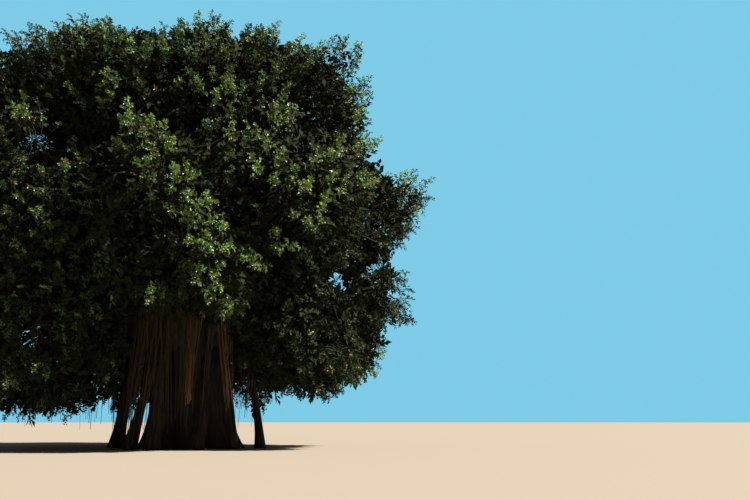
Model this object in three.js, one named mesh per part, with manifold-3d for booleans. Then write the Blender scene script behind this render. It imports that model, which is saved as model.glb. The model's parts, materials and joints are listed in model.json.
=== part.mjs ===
// A banyan tree: a fluted trunk, prop roots, boughs and the masses of foliage round its crown.
// Units are millimetres, +Z is up, and the origin is on the ground at the centre of the trunk.
import * as THREE from "three";
import { mergeVertices } from "three/addons/utils/BufferGeometryUtils.js";
import Module from "manifold-3d";

const wasm = await Module();
wasm.setup();

// Driving dimensions of the whole tree.
const CROWN_TOP = 26700;
const REACH_RIGHT = 14100; // from the trunk towards +X
const REACH_LEFT = 18000; // from the trunk towards -X
const REACH_DEPTH = 14600; // from the trunk towards +Y and -Y
const CLEARANCE = 0.3; // between two pieces that meet
const PASSING_GAP = 40; // between a limb and the foliage that it passes
const SPACE_GAP = 25; // each mass keeps this far inside its own side of a shared border

// The crown's plan is an ellipse about this centre.
const CROWN_X = (REACH_RIGHT - REACH_LEFT) / 2;
const CROWN_HALF_WIDTH = (REACH_RIGHT + REACH_LEFT) / 2;

// The crown hangs almost to the ground, except over the opening on the side where the prop roots show.
const HEM = 1000;
const HEM_LIFT = 5300;
const RIGHT_HEM_LIFT = 1800; // at the crown's +X end
const OPENING_AZIMUTH = 288; // degrees, anticlockwise from +X
const OPENING_SPREAD = 45;
const OPENING_PUSH = 5; // degrees by which the low masses beside the opening stand further from it
const OPENING_NARROWING = 0.12; // and the share by which they are narrower

// The crown's shoulders are this much lower towards +Y and -Y than towards +X and -X.
const SHOULDER_DROP = 1900;

// Each ring of masses: reach is a share of the crown's own reach, thick and wide are half sizes,
// and inner is the share of thick that a mass reaches towards the trunk.
const RINGS = [
  {
    name: "low", count: 8, first: 18, reach: 0.96, bottom: HEM, top: 13400,
    thick: 4900, wide: 5900, inner: 0.68,
  },
  {
    name: "middle", count: 9, first: 0, reach: 1, bottom: 7600, top: 19900,
    thick: 5200, wide: 5800, inner: 0.68,
  },
  {
    name: "upper", count: 7, first: 0, reach: 0.81, bottom: 14200, top: 25900,
    thick: 5300, wide: 5900, inner: 0.75,
  },
  {
    name: "top", count: 2, first: 0, reach: 0.57, bottom: 17000, top: CROWN_TOP,
    thick: 5300, wide: 6200, inner: 1,
  },
];

// No two masses are alike: each is turned, lifted and drawn in by up to these amounts.
const STRAY = { azimuth: 5, lift: 700, reach: 0.07, size: 0.06 };

// The trunk: its radius at the ground, at chest height and under the fork, and its flutes.
const TRUNK = {
  forkHeight: 7000,
  crownHeight: 8300,
  footRadius: 2900,
  chestRadius: 2150,
  forkRadius: 1950,
  flareHeight: 1300,
  flutes: 9,
  fluteDepth: 0.13,
  fluteFade: 0.45,
  fluteWander: 0.5,
  ribs: 4,
  ribShare: 0.5,
  ribPhase: 1.1,
  twist: 0.35,
  domeEdge: 0.12,
  lean: -260,
  sides: 27,
  steps: 9,
  stepCurve: 1.25, // more than 1 sets the rings closer together near the ground
};

// Boughs: radius at the root and at the tip, how far along its parent each kind starts,
// and pull, the share of the way to its mass at which it bends.
const MAIN_BOUGH = {
  root: 900,
  tip: 330,
  rise: [4500, 6100],
  sway: 1300,
  bow: 1500,
  pull: 0.45,
  wander: 420,
  sides: 7,
  steps: 6,
};
const LOW_LIMB = {
  root: 350, tip: 210, from: 0.3, bow: 700, pull: 0.55, wander: 260, sides: 6, steps: 4,
};
const UPPER_LIMB = {
  root: 480, tip: 240, from: 0.24, pull: 0.35, climb: 0.62, wander: 380, sides: 6, steps: 5,
};
const LEADER = {
  root: 850,
  tip: 320,
  rise: 6700,
  apart: 500,
  pull: 0.7,
  climb: 0.5,
  wander: 450,
  sides: 7,
  steps: 6,
};
const LIMB_TAPER = { power: 0.8, swell: 0.3, swellFades: 9 };
const ROUTE_SAMPLES = 120;
const ROUTE_KNOTS = 9;
const WANDER_KNOTS = 13;
const TIP_STOPS_SHORT = 420; // a bough's tip ends this far outside the core of its mass

// Prop roots: where each stands, the main bough it hangs from, and how far along that bough.
const PROP_ROOTS = [
  { name: "front_left", foot: [-2600, -4300], bough: 7, along: 0.44, radius: 400 },
  { name: "front_middle", foot: [-1150, -4700], bough: 7, along: 0.56, radius: 470 },
  { name: "front_right", foot: [1250, -4200], bough: 8, along: 0.3, radius: 330 },
  { name: "right", foot: [3000, -2700], bough: 8, along: 0.44, radius: 340 },
  { name: "right_far", foot: [4300, -700], bough: 0, along: 0.5, radius: 320 },
  { name: "back", foot: [1500, 4200], bough: 2, along: 0.45, radius: 430 },
  { name: "left", foot: [-4300, -300], bough: 5, along: 0.36, radius: 460 },
];
const ROOT_SHAPE = {
  sides: 9, steps: 5, waist: 0.62, flare: 0.55, flareFades: 6, twist: 0.9, lobes: 0.16, ribs: 0.1,
  bendAlong: 0.45, bendHeight: 0.55,
};

// Masses are fuller than ellipsoids: their outline's exponent is more than 2.
const FULLNESS = 2.7;
const NEARNESS = 0.8; // masses share a border where their reaches cover this share of the way between them

// Foliage: the core's share of its mass, its shallow humps, and the stem that it grows on.
const CORE_SHARE = 0.87;
const CORE_BORDER = 260; // the core stays this far inside its mass's borders
const CORE_HUMPS = { depth: 0.07, outward: 5, up: 3, across: 4 };
const STEM = { square: 120, steps: 3, taper: 0.4, inner: 0.6 };

// The twigs and sprays that stand out of the core.
const TWIG = { count: 7, radius: 75, swell: 1.4, taper: 0.5, buried: 500, buriedInSpray: 150, sides: 3 };
const SPRAY = { length: 2100, width: 1300, thickness: 240, smallest: 0.8, largest: 1.1, roll: 0.4 };
const SIDE_SPRAY = { size: 0.95, ahead: 0.8, droop: -0.35, back: 120 };
const TIP_SHARE = 0.985; // the outermost sprays reach this share of their mass's space
const TWIG_ROOM = 700; // a twig's place is at least this far inside the borders
const TWIG_FACING = -0.35; // and no further round to the trunk's side than this
const MOST_TRIES = 400;
const SEED = 20417;
const GOLDEN_TURN = 2.39996; // radians between neighbours that are spread evenly
const SMALL = 1e-6;
const MERGE_DISTANCE = 1e-2;

const UP = new THREE.Vector3(0, 0, 1);
const degrees = (angle) => (angle * Math.PI) / 180;
const vector = (x, y, z) => new THREE.Vector3(x, y, z);
const mix = THREE.MathUtils.lerp;

// A seeded source of numbers from 0 to 1.
function randomSource(seed) {
  let state = seed;
  return () => {
    state = (state + 0x6d2b79f5) | 0;
    let t = Math.imul(state ^ (state >>> 15), 1 | state);
    t = (t + Math.imul(t ^ (t >>> 7), 61 | t)) ^ t;
    return ((t ^ (t >>> 14)) >>> 0) / 4294967296;
  };
}

// A closed geometry as a solid that can be cut and joined.
function solidOf(geometry) {
  const bare = new THREE.BufferGeometry();
  bare.setAttribute("position", geometry.getAttribute("position"));
  if (geometry.index) bare.setIndex(geometry.index);
  const merged = mergeVertices(bare, MERGE_DISTANCE);
  return new wasm.Manifold(
    new wasm.Mesh({
      numProp: 3,
      vertProperties: new Float32Array(merged.attributes.position.array),
      triVerts: new Uint32Array(merged.index.array),
    }),
  );
}

// A solid as a geometry with flat faces.
function geometryOf(solid) {
  const { vertProperties, triVerts } = solid.getMesh();
  const geometry = new THREE.BufferGeometry();
  geometry.setAttribute("position", new THREE.BufferAttribute(vertProperties, 3));
  geometry.setIndex(new THREE.BufferAttribute(triVerts, 1));
  const flat = geometry.toNonIndexed();
  flat.computeVertexNormals();
  return flat;
}

// The largest body of a solid, without the scraps that a cut leaves.
function largestBody(solid) {
  return solid.decompose().sort((a, b) => b.volume() - a.volume())[0];
}

// The geometry with each point moved by a function.
function moved(geometry, move) {
  const position = geometry.getAttribute("position");
  const point = new THREE.Vector3();
  for (let i = 0; i < position.count; i++) {
    point.fromBufferAttribute(position, i);
    position.setXYZ(i, ...move(point));
  }
  return geometry;
}

// The directions along a curve, to its level side and over it, which turn smoothly from end to end.
function frameAt(curve, t) {
  const chord = curve.getPointAt(1).sub(curve.getPointAt(0));
  const level = vector(-chord.y, chord.x, 0);
  if (level.lengthSq() < 1) level.set(1, 0, 0);
  const tangent = curve.getTangentAt(t);
  const side = level.normalize().addScaledVector(tangent, -level.dot(tangent)).normalize();
  return { tangent, side, over: side.clone().cross(tangent) };
}

// A ring is an end ring where it is nearer an end than this share of the whole length.
const NEAR_END = 0.001;

// A tapered tube along a curve, with flat ends: a cylinder whose rings are set square to the curve.
function tube(curve, radiusAt, sides, steps, grow = 0) {
  const shape = new THREE.CylinderGeometry(1, 1, 1, sides, steps);
  return moved(shape, (p) => {
    const along = p.y + 0.5;
    const t = THREE.MathUtils.clamp(along, 0, 1);
    const { tangent, side, over } = frameAt(curve, t);
    const radius = radiusAt(t) + grow;
    const end = along < NEAR_END ? -grow : along > 1 - NEAR_END ? grow : 0;
    return curve
      .getPointAt(t)
      .addScaledVector(tangent, end)
      .addScaledVector(side, p.x * radius)
      .addScaledVector(over, p.z * radius);
  });
}

// The trunk's radius at a height and an angle: a flared foot, a taper, and flutes that fade upwards.
function trunkRadius(z, angle) {
  const t = THREE.MathUtils.clamp(z / TRUNK.forkHeight, 0, 1);
  const body = mix(TRUNK.chestRadius, TRUNK.forkRadius, t);
  const flare = (TRUNK.footRadius - TRUNK.chestRadius) * Math.exp(-z / TRUNK.flareHeight);
  const depth = TRUNK.fluteDepth * (1 - TRUNK.fluteFade * t);
  const turned = angle + TRUNK.twist * t;
  const narrow = Math.cos(TRUNK.flutes * turned + TRUNK.fluteWander * Math.sin(2 * turned));
  const broad = TRUNK.ribShare * Math.cos(TRUNK.ribs * turned + TRUNK.ribPhase);
  const flutes = depth * (narrow + broad);
  const above = Math.max(0, z - TRUNK.forkHeight) / (TRUNK.crownHeight - TRUNK.forkHeight);
  const dome = Math.sqrt(Math.max(TRUNK.domeEdge, 1 - above * above));
  return (body + flare) * (1 + flutes) * dome;
}

function trunkSolid(grow = 0) {
  const shape = new THREE.CylinderGeometry(1, 1, 1, TRUNK.sides, TRUNK.steps);
  const upright = shape.rotateX(Math.PI / 2);
  return solidOf(
    moved(upright, (p) => {
      const t = p.z + 0.5;
      const z = TRUNK.crownHeight * Math.pow(t, TRUNK.stepCurve);
      const angle = Math.atan2(p.y, p.x);
      const radius = Math.hypot(p.x, p.y) * (trunkRadius(z, angle) + grow);
      const lean = TRUNK.lean * t;
      return [lean + radius * Math.cos(angle), radius * Math.sin(angle), z + (t > 1 - NEAR_END ? grow : 0)];
    }),
  );
}

// How far an azimuth is round from the opening, from -180 to 180.
function turnFromOpening(azimuth) {
  return THREE.MathUtils.euclideanModulo(azimuth - OPENING_AZIMUTH + 180, 360) - 180;
}

// The height of the crown's lower edge at an azimuth.
function hemLift(azimuth) {
  const share = Math.min(1, Math.abs(turnFromOpening(azimuth)) / OPENING_SPREAD);
  const overOpening = HEM_LIFT * Math.cos(degrees(90 * share)) ** 2;
  return overOpening + RIGHT_HEM_LIFT * Math.max(0, Math.cos(degrees(azimuth)));
}

// Which side of the opening an azimuth is beside: -1 or 1 at the opening's edges,
// and 0 in it and far from it.
function besideOpening(azimuth) {
  const share = THREE.MathUtils.clamp(turnFromOpening(azimuth) / OPENING_SPREAD, -2, 2);
  return Math.sin(degrees(90 * share));
}

// The ellipsoid that each mass fills, from the rings.
function massSpaces(random) {
  const stray = (amount) => amount * (2 * random() - 1);
  return RINGS.flatMap((ring) =>
    Array.from({ length: ring.count }, (_, i) => {
      const first = i === 0 || ring.name === "top";
      const even = (ring.first + (i * 360) / ring.count + (first ? 0 : stray(STRAY.azimuth))) % 360;
      const beside = ring.name === "low" ? besideOpening(even) : 0;
      const azimuth = even + OPENING_PUSH * beside;
      const share = ring.reach - (first ? 0 : STRAY.reach * random());
      const size = 1 + (first ? 0 : stray(STRAY.size));
      const lift = ring.name === "middle" ? stray(STRAY.lift) : 0;
      const bottom = ring.bottom + (ring.name === "low" ? hemLift(azimuth) : lift);
      const outward = vector(Math.cos(degrees(azimuth)), Math.sin(degrees(azimuth)), 0);
      const drop = SHOULDER_DROP * Math.abs(outward.y) + (first ? 0 : STRAY.lift * random());
      const top = ring.top - (ring.name === "upper" ? drop : -lift);
      const reachX = CROWN_HALF_WIDTH * share - ring.thick * size;
      const reachY = REACH_DEPTH * share - ring.thick * size;
      return {
        name: `${ring.name}_${i + 1}`,
        ring: ring.name,
        inner: ring.inner,
        azimuth,
        outward,
        across: UP.clone().cross(outward),
        centre: vector(CROWN_X + outward.x * reachX, outward.y * reachY, (bottom + top) / 2),
        half: vector(
          ring.thick * size,
          ring.wide * size * (1 - OPENING_NARROWING * Math.abs(beside)),
          (top - bottom) / 2,
        ),
        borders: [],
      };
    }),
  );
}

// How far a mass's free outline, a full ellipsoid, is from its centre in a direction.
function ellipsoidReach(space, direction) {
  const outward = direction.dot(space.outward);
  const shares = [
    outward / (space.half.x * (outward < 0 ? space.inner : 1)),
    direction.dot(space.across) / space.half.y,
    direction.z / space.half.z,
  ];
  const sum = shares.reduce((total, share) => total + Math.abs(share) ** FULLNESS, 0);
  return 1 / sum ** (1 / FULLNESS);
}

// Two masses that are near each other share a flat border, and each keeps to its own side of it.
function addBorders(spaces) {
  spaces.forEach((a, i) =>
    spaces.slice(i + 1).forEach((b) => {
      const towards = b.centre.clone().sub(a.centre);
      const distance = towards.length();
      towards.normalize();
      const reachA = ellipsoidReach(a, towards);
      const reachB = ellipsoidReach(b, towards);
      if (reachA + reachB < distance * NEARNESS) return;
      const border = (distance * reachA) / (reachA + reachB);
      a.borders.push({ normal: towards, distance: border - SPACE_GAP });
      b.borders.push({ normal: towards.clone().negate(), distance: distance - border - SPACE_GAP });
    }),
  );
}

// How far a mass's borders let it reach from its centre in a direction.
function borderReach(space, direction, inset = 0) {
  return space.borders.reduce((reach, border) => {
    const slope = direction.dot(border.normal);
    return slope > SMALL ? Math.min(reach, (border.distance - inset) / slope) : reach;
  }, Infinity);
}

// How far a mass reaches from its centre in a direction, inside its ellipsoid and its borders.
function spaceReach(space, direction) {
  return Math.min(ellipsoidReach(space, direction), borderReach(space, direction));
}

function insideSpace(space, point) {
  const direction = point.clone().sub(space.centre);
  const distance = direction.length();
  return distance < 1 || distance < spaceReach(space, direction.divideScalar(distance));
}

// The core's reach: a share of the ellipsoid's, with shallow humps, and close to the borders.
function coreReach(space, direction) {
  const turn = degrees(space.azimuth);
  const ridges = Math.sin(CORE_HUMPS.outward * direction.x + CORE_HUMPS.up * direction.z + turn);
  const humps = CORE_HUMPS.depth * ridges * Math.cos(CORE_HUMPS.across * direction.y - turn);
  const free = (CORE_SHARE + humps) * ellipsoidReach(space, direction);
  return Math.min(free, borderReach(space, direction, CORE_BORDER));
}

function coreSolid(space) {
  const ball = new THREE.IcosahedronGeometry(1, 1);
  return solidOf(
    moved(ball, (p) => {
      const direction = p.clone().normalize();
      return direction.clone().multiplyScalar(coreReach(space, direction)).add(space.centre);
    }),
  );
}

// A curve from one point to another that bends by a middle point.
function bend(from, middle, to) {
  return new THREE.QuadraticBezierCurve3(from, middle, to);
}

// The first part of a curve, up to where it nears the core of the mass that it feeds.
function stopAtCore(curve, space) {
  const samples = curve.getSpacedPoints(ROUTE_SAMPLES);
  const end = samples.findIndex((p) => {
    const direction = p.clone().sub(space.centre);
    const distance = direction.length();
    return distance < coreReach(space, direction.normalize()) + TIP_STOPS_SHORT;
  });
  const picks = Array.from({ length: ROUTE_KNOTS }, (_, i) => Math.round((i * end) / (ROUTE_KNOTS - 1)));
  const knots = picks.map((pick) => samples[pick]);
  return new THREE.CatmullRomCurve3(knots);
}

// The curve with a slow double bend to one side and then the other, and none at its ends.
function wander(curve, amount, random) {
  const turn = random() * Math.PI * 2;
  const points = curve.getSpacedPoints(WANDER_KNOTS - 1).map((p, i) => {
    const t = i / (WANDER_KNOTS - 1);
    const { side, over } = frameAt(curve, t);
    const swing = amount * Math.sin(Math.PI * 2 * t);
    return p.addScaledVector(side, swing * Math.cos(turn)).addScaledVector(over, swing * Math.sin(turn));
  });
  return new THREE.CatmullRomCurve3(points);
}

// A limb: its curve, its radius along the curve, and the mass that its tip feeds.
function limb(name, curve, kind, space, random) {
  const route = stopAtCore(wander(curve, kind.wander, random), space);
  const radiusAt = (t) => {
    const swell = 1 + LIMB_TAPER.swell * Math.exp(-t * LIMB_TAPER.swellFades);
    return mix(kind.root, kind.tip, Math.pow(t, LIMB_TAPER.power)) * swell;
  };
  return { name, route, radiusAt, kind, space };
}

function mainBoughs(spaces, random) {
  return spaces
    .filter((space) => space.ring === "middle")
    .map((space, i) => {
      const start = vector(0, 0, MAIN_BOUGH.rise[i % 2]);
      const sway = space.across.clone().multiplyScalar(i % 2 ? -MAIN_BOUGH.sway : MAIN_BOUGH.sway);
      const middle = start.clone().lerp(space.centre, MAIN_BOUGH.pull).add(sway);
      middle.z += MAIN_BOUGH.bow;
      return limb(`bough_${i + 1}`, bend(start, middle, space.centre), MAIN_BOUGH, space, random);
    });
}

// The main bough whose tip lies nearest a mass in plan.
function nearestBough(boughs, space) {
  const gap = (bough) => {
    const tip = bough.space.centre;
    return Math.hypot(tip.x - space.centre.x, tip.y - space.centre.y);
  };
  return boughs.reduce((best, bough) => (gap(bough) < gap(best) ? bough : best));
}

function sideLimbs(spaces, boughs, random) {
  const low = spaces
    .filter((space) => space.ring === "low")
    .map((space, i) => {
      const start = nearestBough(boughs, space).route.getPointAt(LOW_LIMB.from);
      const middle = start.clone().lerp(space.centre, LOW_LIMB.pull).addScaledVector(UP, LOW_LIMB.bow);
      return limb(`low_limb_${i + 1}`, bend(start, middle, space.centre), LOW_LIMB, space, random);
    });
  const upper = spaces
    .filter((space) => space.ring === "upper")
    .map((space, i) => {
      const start = nearestBough(boughs, space).route.getPointAt(UPPER_LIMB.from);
      const middle = vector(
        mix(start.x, space.centre.x, UPPER_LIMB.pull),
        mix(start.y, space.centre.y, UPPER_LIMB.pull),
        mix(start.z, space.centre.z, UPPER_LIMB.climb),
      );
      return limb(`upper_limb_${i + 1}`, bend(start, middle, space.centre), UPPER_LIMB, space, random);
    });
  const leaders = spaces
    .filter((space) => space.ring === "top")
    .map((space, i) => {
      const start = vector(space.outward.x * LEADER.apart, 0, LEADER.rise);
      const middle = vector(
        mix(start.x, space.centre.x, LEADER.pull),
        0,
        mix(start.z, space.centre.z, LEADER.climb),
      );
      return limb(`leader_${i + 1}`, bend(start, middle, space.centre), LEADER, space, random);
    });
  return [...low, ...upper, ...leaders];
}

// A prop root runs from the ground up to the underside of its bough, and is widest at its foot.
function propRoot(plan, boughs) {
  const bough = boughs[plan.bough];
  const top = bough.route.getPointAt(plan.along);
  const foot = vector(plan.foot[0], plan.foot[1], 0);
  const middle = foot.clone().lerp(top, ROOT_SHAPE.bendAlong);
  middle.z = top.z * ROOT_SHAPE.bendHeight;
  const flare = (t) => ROOT_SHAPE.flare * Math.exp(-t * ROOT_SHAPE.flareFades);
  const radiusAt = (t) => plan.radius * (ROOT_SHAPE.waist + flare(t));
  return { name: `prop_root_${plan.name}`, route: bend(foot, middle, top), radiusAt };
}

// Prop roots are several roots grown together, so their outline is lobed.
// Their foot is cut flat at the ground.
function propRootSolid(root, grow = 0) {
  const shape = new THREE.CylinderGeometry(1, 1, 1, ROOT_SHAPE.sides, ROOT_SHAPE.steps);
  const top = root.route.getPointAt(1).z;
  return solidOf(
    moved(shape, (p) => {
      const t = p.y + 0.5;
      const angle = Math.atan2(p.z, p.x) + ROOT_SHAPE.twist * t;
      const lobes = 1 + ROOT_SHAPE.lobes * Math.cos(3 * angle) + ROOT_SHAPE.ribs * Math.cos(5 * angle + 2);
      const radius = Math.hypot(p.x, p.z) * (root.radiusAt(t) * lobes + grow);
      const centre = root.route.getPoint(t);
      return [centre.x + radius * Math.cos(angle), centre.y - radius * Math.sin(angle), top * t];
    }),
  );
}

function limbSolid(piece, grow = 0) {
  return solidOf(tube(piece.route, piece.radiusAt, piece.kind.sides, piece.kind.steps, grow));
}

// An eight-sided blade from its base, thickest in the middle, that stands for a spray of leaves.
function spraySolid(base, direction, flatSide, size) {
  const axis = direction.clone().normalize();
  const across = axis.clone().cross(flatSide);
  if (across.lengthSq() < MERGE_DISTANCE) across.set(axis.z, 0, -axis.x);
  across.normalize();
  const face = axis.clone().cross(across);
  const blade = new THREE.OctahedronGeometry(1, 0);
  return solidOf(
    moved(blade, (p) =>
      base
        .clone()
        .addScaledVector(axis, ((p.x + 1) / 2) * SPRAY.length * size)
        .addScaledVector(across, (p.y * SPRAY.width * size) / 2)
        .addScaledVector(face, (p.z * SPRAY.thickness * size) / 2),
    ),
  );
}

// The directions in which twigs stand out: evenly spread over the part of a mass that faces the open air.
function openDirections(space, count, random) {
  const clear = (direction) => ellipsoidReach(space, direction) < borderReach(space, direction, TWIG_ROOM);
  const open = (direction) => direction.dot(space.outward) > TWIG_FACING && clear(direction);
  let tried = count;
  let found = [];
  while (found.length < count && tried < MOST_TRIES) {
    tried += 3;
    found = evenDirections(tried, random).filter(open);
  }
  return found.slice(0, count);
}

// Directions spread evenly over a sphere, turned by a random angle.
function evenDirections(count, random) {
  const turn = random() * Math.PI * 2;
  return Array.from({ length: count }, (_, i) => {
    const z = 1 - (2 * (i + 0.5)) / count;
    const angle = turn + i * GOLDEN_TURN;
    return vector(Math.cos(angle), Math.sin(angle), 0)
      .multiplyScalar(Math.sqrt(1 - z * z))
      .setZ(z);
  });
}

// Whether every corner of a solid is inside the mass's space, and it touches none of the limbs.
function fits(solid, space, limbs) {
  const { vertProperties } = solid.getMesh();
  for (let i = 0; i < vertProperties.length; i += 3) {
    const corner = vector(vertProperties[i], vertProperties[i + 1], vertProperties[i + 2]);
    if (!insideSpace(space, corner)) return false;
  }
  return limbs.every((other) => solid.intersect(other).isEmpty());
}

// A mass: a stem from its bough's tip, a core, and twigs with a spray at the tip and at each side.
// The core leaves room for the limbs that pass by.
function massSolid(space, feeder, limbs, grownLimbs, random) {
  const stemStart = feeder.route.getPointAt(1).addScaledVector(feeder.route.getTangentAt(1), CLEARANCE);
  const stem = new THREE.LineCurve3(stemStart, space.centre);
  const stemRadius = (t) => feeder.kind.tip * (1 - STEM.taper * t);
  const passing = grownLimbs.filter((other) => other !== feeder.grown);
  const core = largestBody(passing.reduce((solid, other) => solid.subtract(other), coreSolid(space)));
  let mass = core.add(stemSolid(feeder, stemStart, space.centre, stemRadius));
  const foremost = space.ring === "top" ? UP : space.outward;
  const directions = [foremost, ...openDirections(space, TWIG.count - 1, random)];
  for (const direction of directions) {
    const size = mix(SPRAY.smallest, SPRAY.largest, random());
    const twigReach = spaceReach(space, direction) * TIP_SHARE - SPRAY.length * size + TWIG.buriedInSpray;
    const twigEnd = direction.clone().multiplyScalar(twigReach).add(space.centre);
    const twigStart = Math.min(coreReach(space, direction), twigReach) - TWIG.buried;
    const start = direction.clone().multiplyScalar(twigStart).add(space.centre);
    const flatSide = UP.clone().addScaledVector(direction, SPRAY.roll * random());
    const twigRadius = (t) => TWIG.radius * (TWIG.swell - TWIG.taper * t);
    const twig = solidOf(tube(new THREE.LineCurve3(start, twigEnd), twigRadius, TWIG.sides, 1));
    const sprayBase = twigEnd.clone().addScaledVector(direction, -TWIG.buriedInSpray);
    const pieces = [twig, spraySolid(sprayBase, direction, flatSide, size)];
    const sideways = direction.clone().cross(UP);
    if (sideways.lengthSq() < MERGE_DISTANCE) sideways.set(1, 0, 0);
    sideways.normalize().applyAxisAngle(direction, random() * Math.PI);
    for (const side of [1, -1]) {
      const heading = direction
        .clone()
        .multiplyScalar(SIDE_SPRAY.ahead)
        .addScaledVector(sideways, side)
        .addScaledVector(UP, SIDE_SPRAY.droop)
        .normalize();
      const root = twigEnd.clone().addScaledVector(heading, -SIDE_SPRAY.back);
      pieces.push(spraySolid(root, heading, direction, size * SIDE_SPRAY.size));
    }
    if (!fits(twig, space, limbs)) continue;
    for (const piece of pieces) if (fits(piece, space, limbs)) mass = mass.add(piece);
  }
  return largestBody(mass);
}

// The stem starts square to its bough's tip, with the tip's own outline, and ends inside the core.
function stemSolid(feeder, start, end, radiusAt) {
  const heading = feeder.route.getTangentAt(1);
  const square = start.clone().addScaledVector(heading, STEM.square);
  const curve = new THREE.CatmullRomCurve3([start, square, square.clone().lerp(end, STEM.inner)]);
  return solidOf(tube(curve, radiusAt, feeder.kind.sides, STEM.steps));
}

function material(color, roughness) {
  return new THREE.MeshStandardMaterial({ color, roughness, metalness: 0, flatShading: true });
}

const bark = material(0x6b5b4a, 0.9);
const rootBark = material(0x7a5f45, 0.9);
const foliage = material(0x2f4a1e, 0.6);

function named(name, solid, finish) {
  const mesh = new THREE.Mesh(geometryOf(solid), finish);
  mesh.name = name;
  return mesh;
}

function buildTree() {
  const tree = new THREE.Group();
  const random = randomSource(SEED);
  const spaces = massSpaces(random);
  addBorders(spaces);
  const boughs = mainBoughs(spaces, random);
  const limbs = [...boughs, ...sideLimbs(spaces, boughs, random)];

  const woods = [];
  const grownWoods = [];
  const trunk = trunkSolid();
  tree.add(named("trunk", trunk, bark));
  woods.push(trunk);
  grownWoods.push(trunkSolid(CLEARANCE));
  for (const piece of limbs) {
    const cut = grownWoods.reduce((solid, other) => solid.subtract(other), limbSolid(piece));
    const solid = largestBody(cut);
    tree.add(named(piece.name, solid, bark));
    woods.push(solid);
    grownWoods.push(limbSolid(piece, CLEARANCE));
  }
  for (const plan of PROP_ROOTS) {
    const root = propRoot(plan, boughs);
    const cut = grownWoods.reduce((solid, other) => solid.subtract(other), propRootSolid(root));
    const solid = cut.decompose().sort((a, b) => a.boundingBox().min[2] - b.boundingBox().min[2])[0];
    tree.add(named(root.name, solid, rootBark));
    woods.push(solid);
    grownWoods.push(propRootSolid(root, CLEARANCE));
  }
  limbs.forEach((piece) => {
    piece.grown = limbSolid(piece, PASSING_GAP);
  });
  const grownLimbs = limbs.map((piece) => piece.grown);
  spaces.forEach((space) => {
    const feeder = limbs.find((piece) => piece.space === space);
    tree.add(named(`foliage_${space.name}`, massSolid(space, feeder, woods, grownLimbs, random), foliage));
  });
  return tree;
}

export default buildTree();
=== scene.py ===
"""A banyan tree: a fluted trunk, boughs, prop and hanging roots, and a dense crown of leafy sprays.

Lengths are in metres, +Z is up, and the origin is on the ground under the trunk. The boughs and the
spaces of the foliage masses follow the same rule, sizes and run of numbers as the solids do.
"""

import json
import logging
import math
from collections.abc import Callable, Sequence
from dataclasses import dataclass, field
from enum import Enum

import bpy
import numpy as np
from bpy.types import ID, Collection, GeometryNodeTree, Material, Mesh
from bpy.types import Node, NodeOutputs, NodeSocket, NodeTree, Object
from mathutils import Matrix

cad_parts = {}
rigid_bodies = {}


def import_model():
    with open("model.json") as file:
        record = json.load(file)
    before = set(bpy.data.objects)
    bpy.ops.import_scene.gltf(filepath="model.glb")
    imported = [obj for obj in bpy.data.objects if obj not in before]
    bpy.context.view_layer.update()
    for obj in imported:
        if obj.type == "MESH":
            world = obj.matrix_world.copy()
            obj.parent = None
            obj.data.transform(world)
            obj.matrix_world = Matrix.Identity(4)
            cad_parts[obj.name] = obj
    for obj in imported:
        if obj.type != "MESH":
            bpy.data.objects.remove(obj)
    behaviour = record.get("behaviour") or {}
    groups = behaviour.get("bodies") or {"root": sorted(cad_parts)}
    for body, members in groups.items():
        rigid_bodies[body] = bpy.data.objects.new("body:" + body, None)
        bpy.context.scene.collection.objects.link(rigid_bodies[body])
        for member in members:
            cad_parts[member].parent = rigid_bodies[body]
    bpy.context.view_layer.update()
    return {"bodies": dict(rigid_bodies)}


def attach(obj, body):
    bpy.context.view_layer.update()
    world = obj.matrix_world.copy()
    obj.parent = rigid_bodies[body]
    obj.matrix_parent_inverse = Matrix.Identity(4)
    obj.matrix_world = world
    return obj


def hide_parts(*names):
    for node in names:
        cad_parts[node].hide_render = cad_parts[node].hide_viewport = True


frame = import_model()
BODY = next(iter(frame["bodies"]))

log = logging.getLogger("banyan")

Array = np.ndarray
Pair = tuple[float, float]
Place = tuple[float, float, float]
Colour = Place
UP = np.array([0.0, 0.0, 1.0])
ACROSS = np.array([1.0, 0.0, 0.0])
GOLDEN_TURN = 2.39996  # radians between neighbours that are spread evenly round an axis
NO_LENGTH = 1e-9  # the least length that is divided by
LEVEL = 1e-6  # a slope below this counts as none
MEAN_SINE = 0.64  # the mean height of a row of arches
NO_QUADS = np.empty((0, 4), int)

SEED = 20417  # starts the run of numbers that shapes the spaces and boughs
CROWN_TOP = 26.7
REACH_RIGHT = 14.1
REACH_LEFT = 18.0
REACH_DEPTH = 14.6
CROWN_X = (REACH_RIGHT - REACH_LEFT) / 2
CROWN_HALF_WIDTH = (REACH_RIGHT + REACH_LEFT) / 2
HEM = 1.0
HEM_LIFT = 5.3
RIGHT_HEM_LIFT = 1.8
OPENING_AZIMUTH = 288.0
OPENING_SPREAD = 45.0
OPENING_PUSH = 5.0
OPENING_NARROWING = 0.12
SHOULDER_DROP = 1.9
SPACE_GAP = 0.025
FULLNESS = 2.7
CORE_SHARE = 0.87
CORE_HUMP = 0.07
CORE_BORDER = 0.26
TIP_STOPS_SHORT = 0.42

ROOT_SEED = 300
RING_SEED_STEP = 1000  # keeps the seeds of one ring's masses apart from the next ring's


def unit(vectors: Array) -> Array:
    """The vectors with their lengths made one."""
    return vectors / np.maximum(np.linalg.norm(vectors, axis=-1, keepdims=True), NO_LENGTH)


def mix(low: float | Array, high: float | Array, share: float | Array) -> float | Array:
    """The value at a share of the way from low to high."""
    return low + (high - low) * share


def along(vectors: Array, axes: Array) -> Array:
    """How far each vector goes along its unit axis, with the last side kept at one."""
    return np.sum(vectors * axes, axis=-1, keepdims=True)


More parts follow.
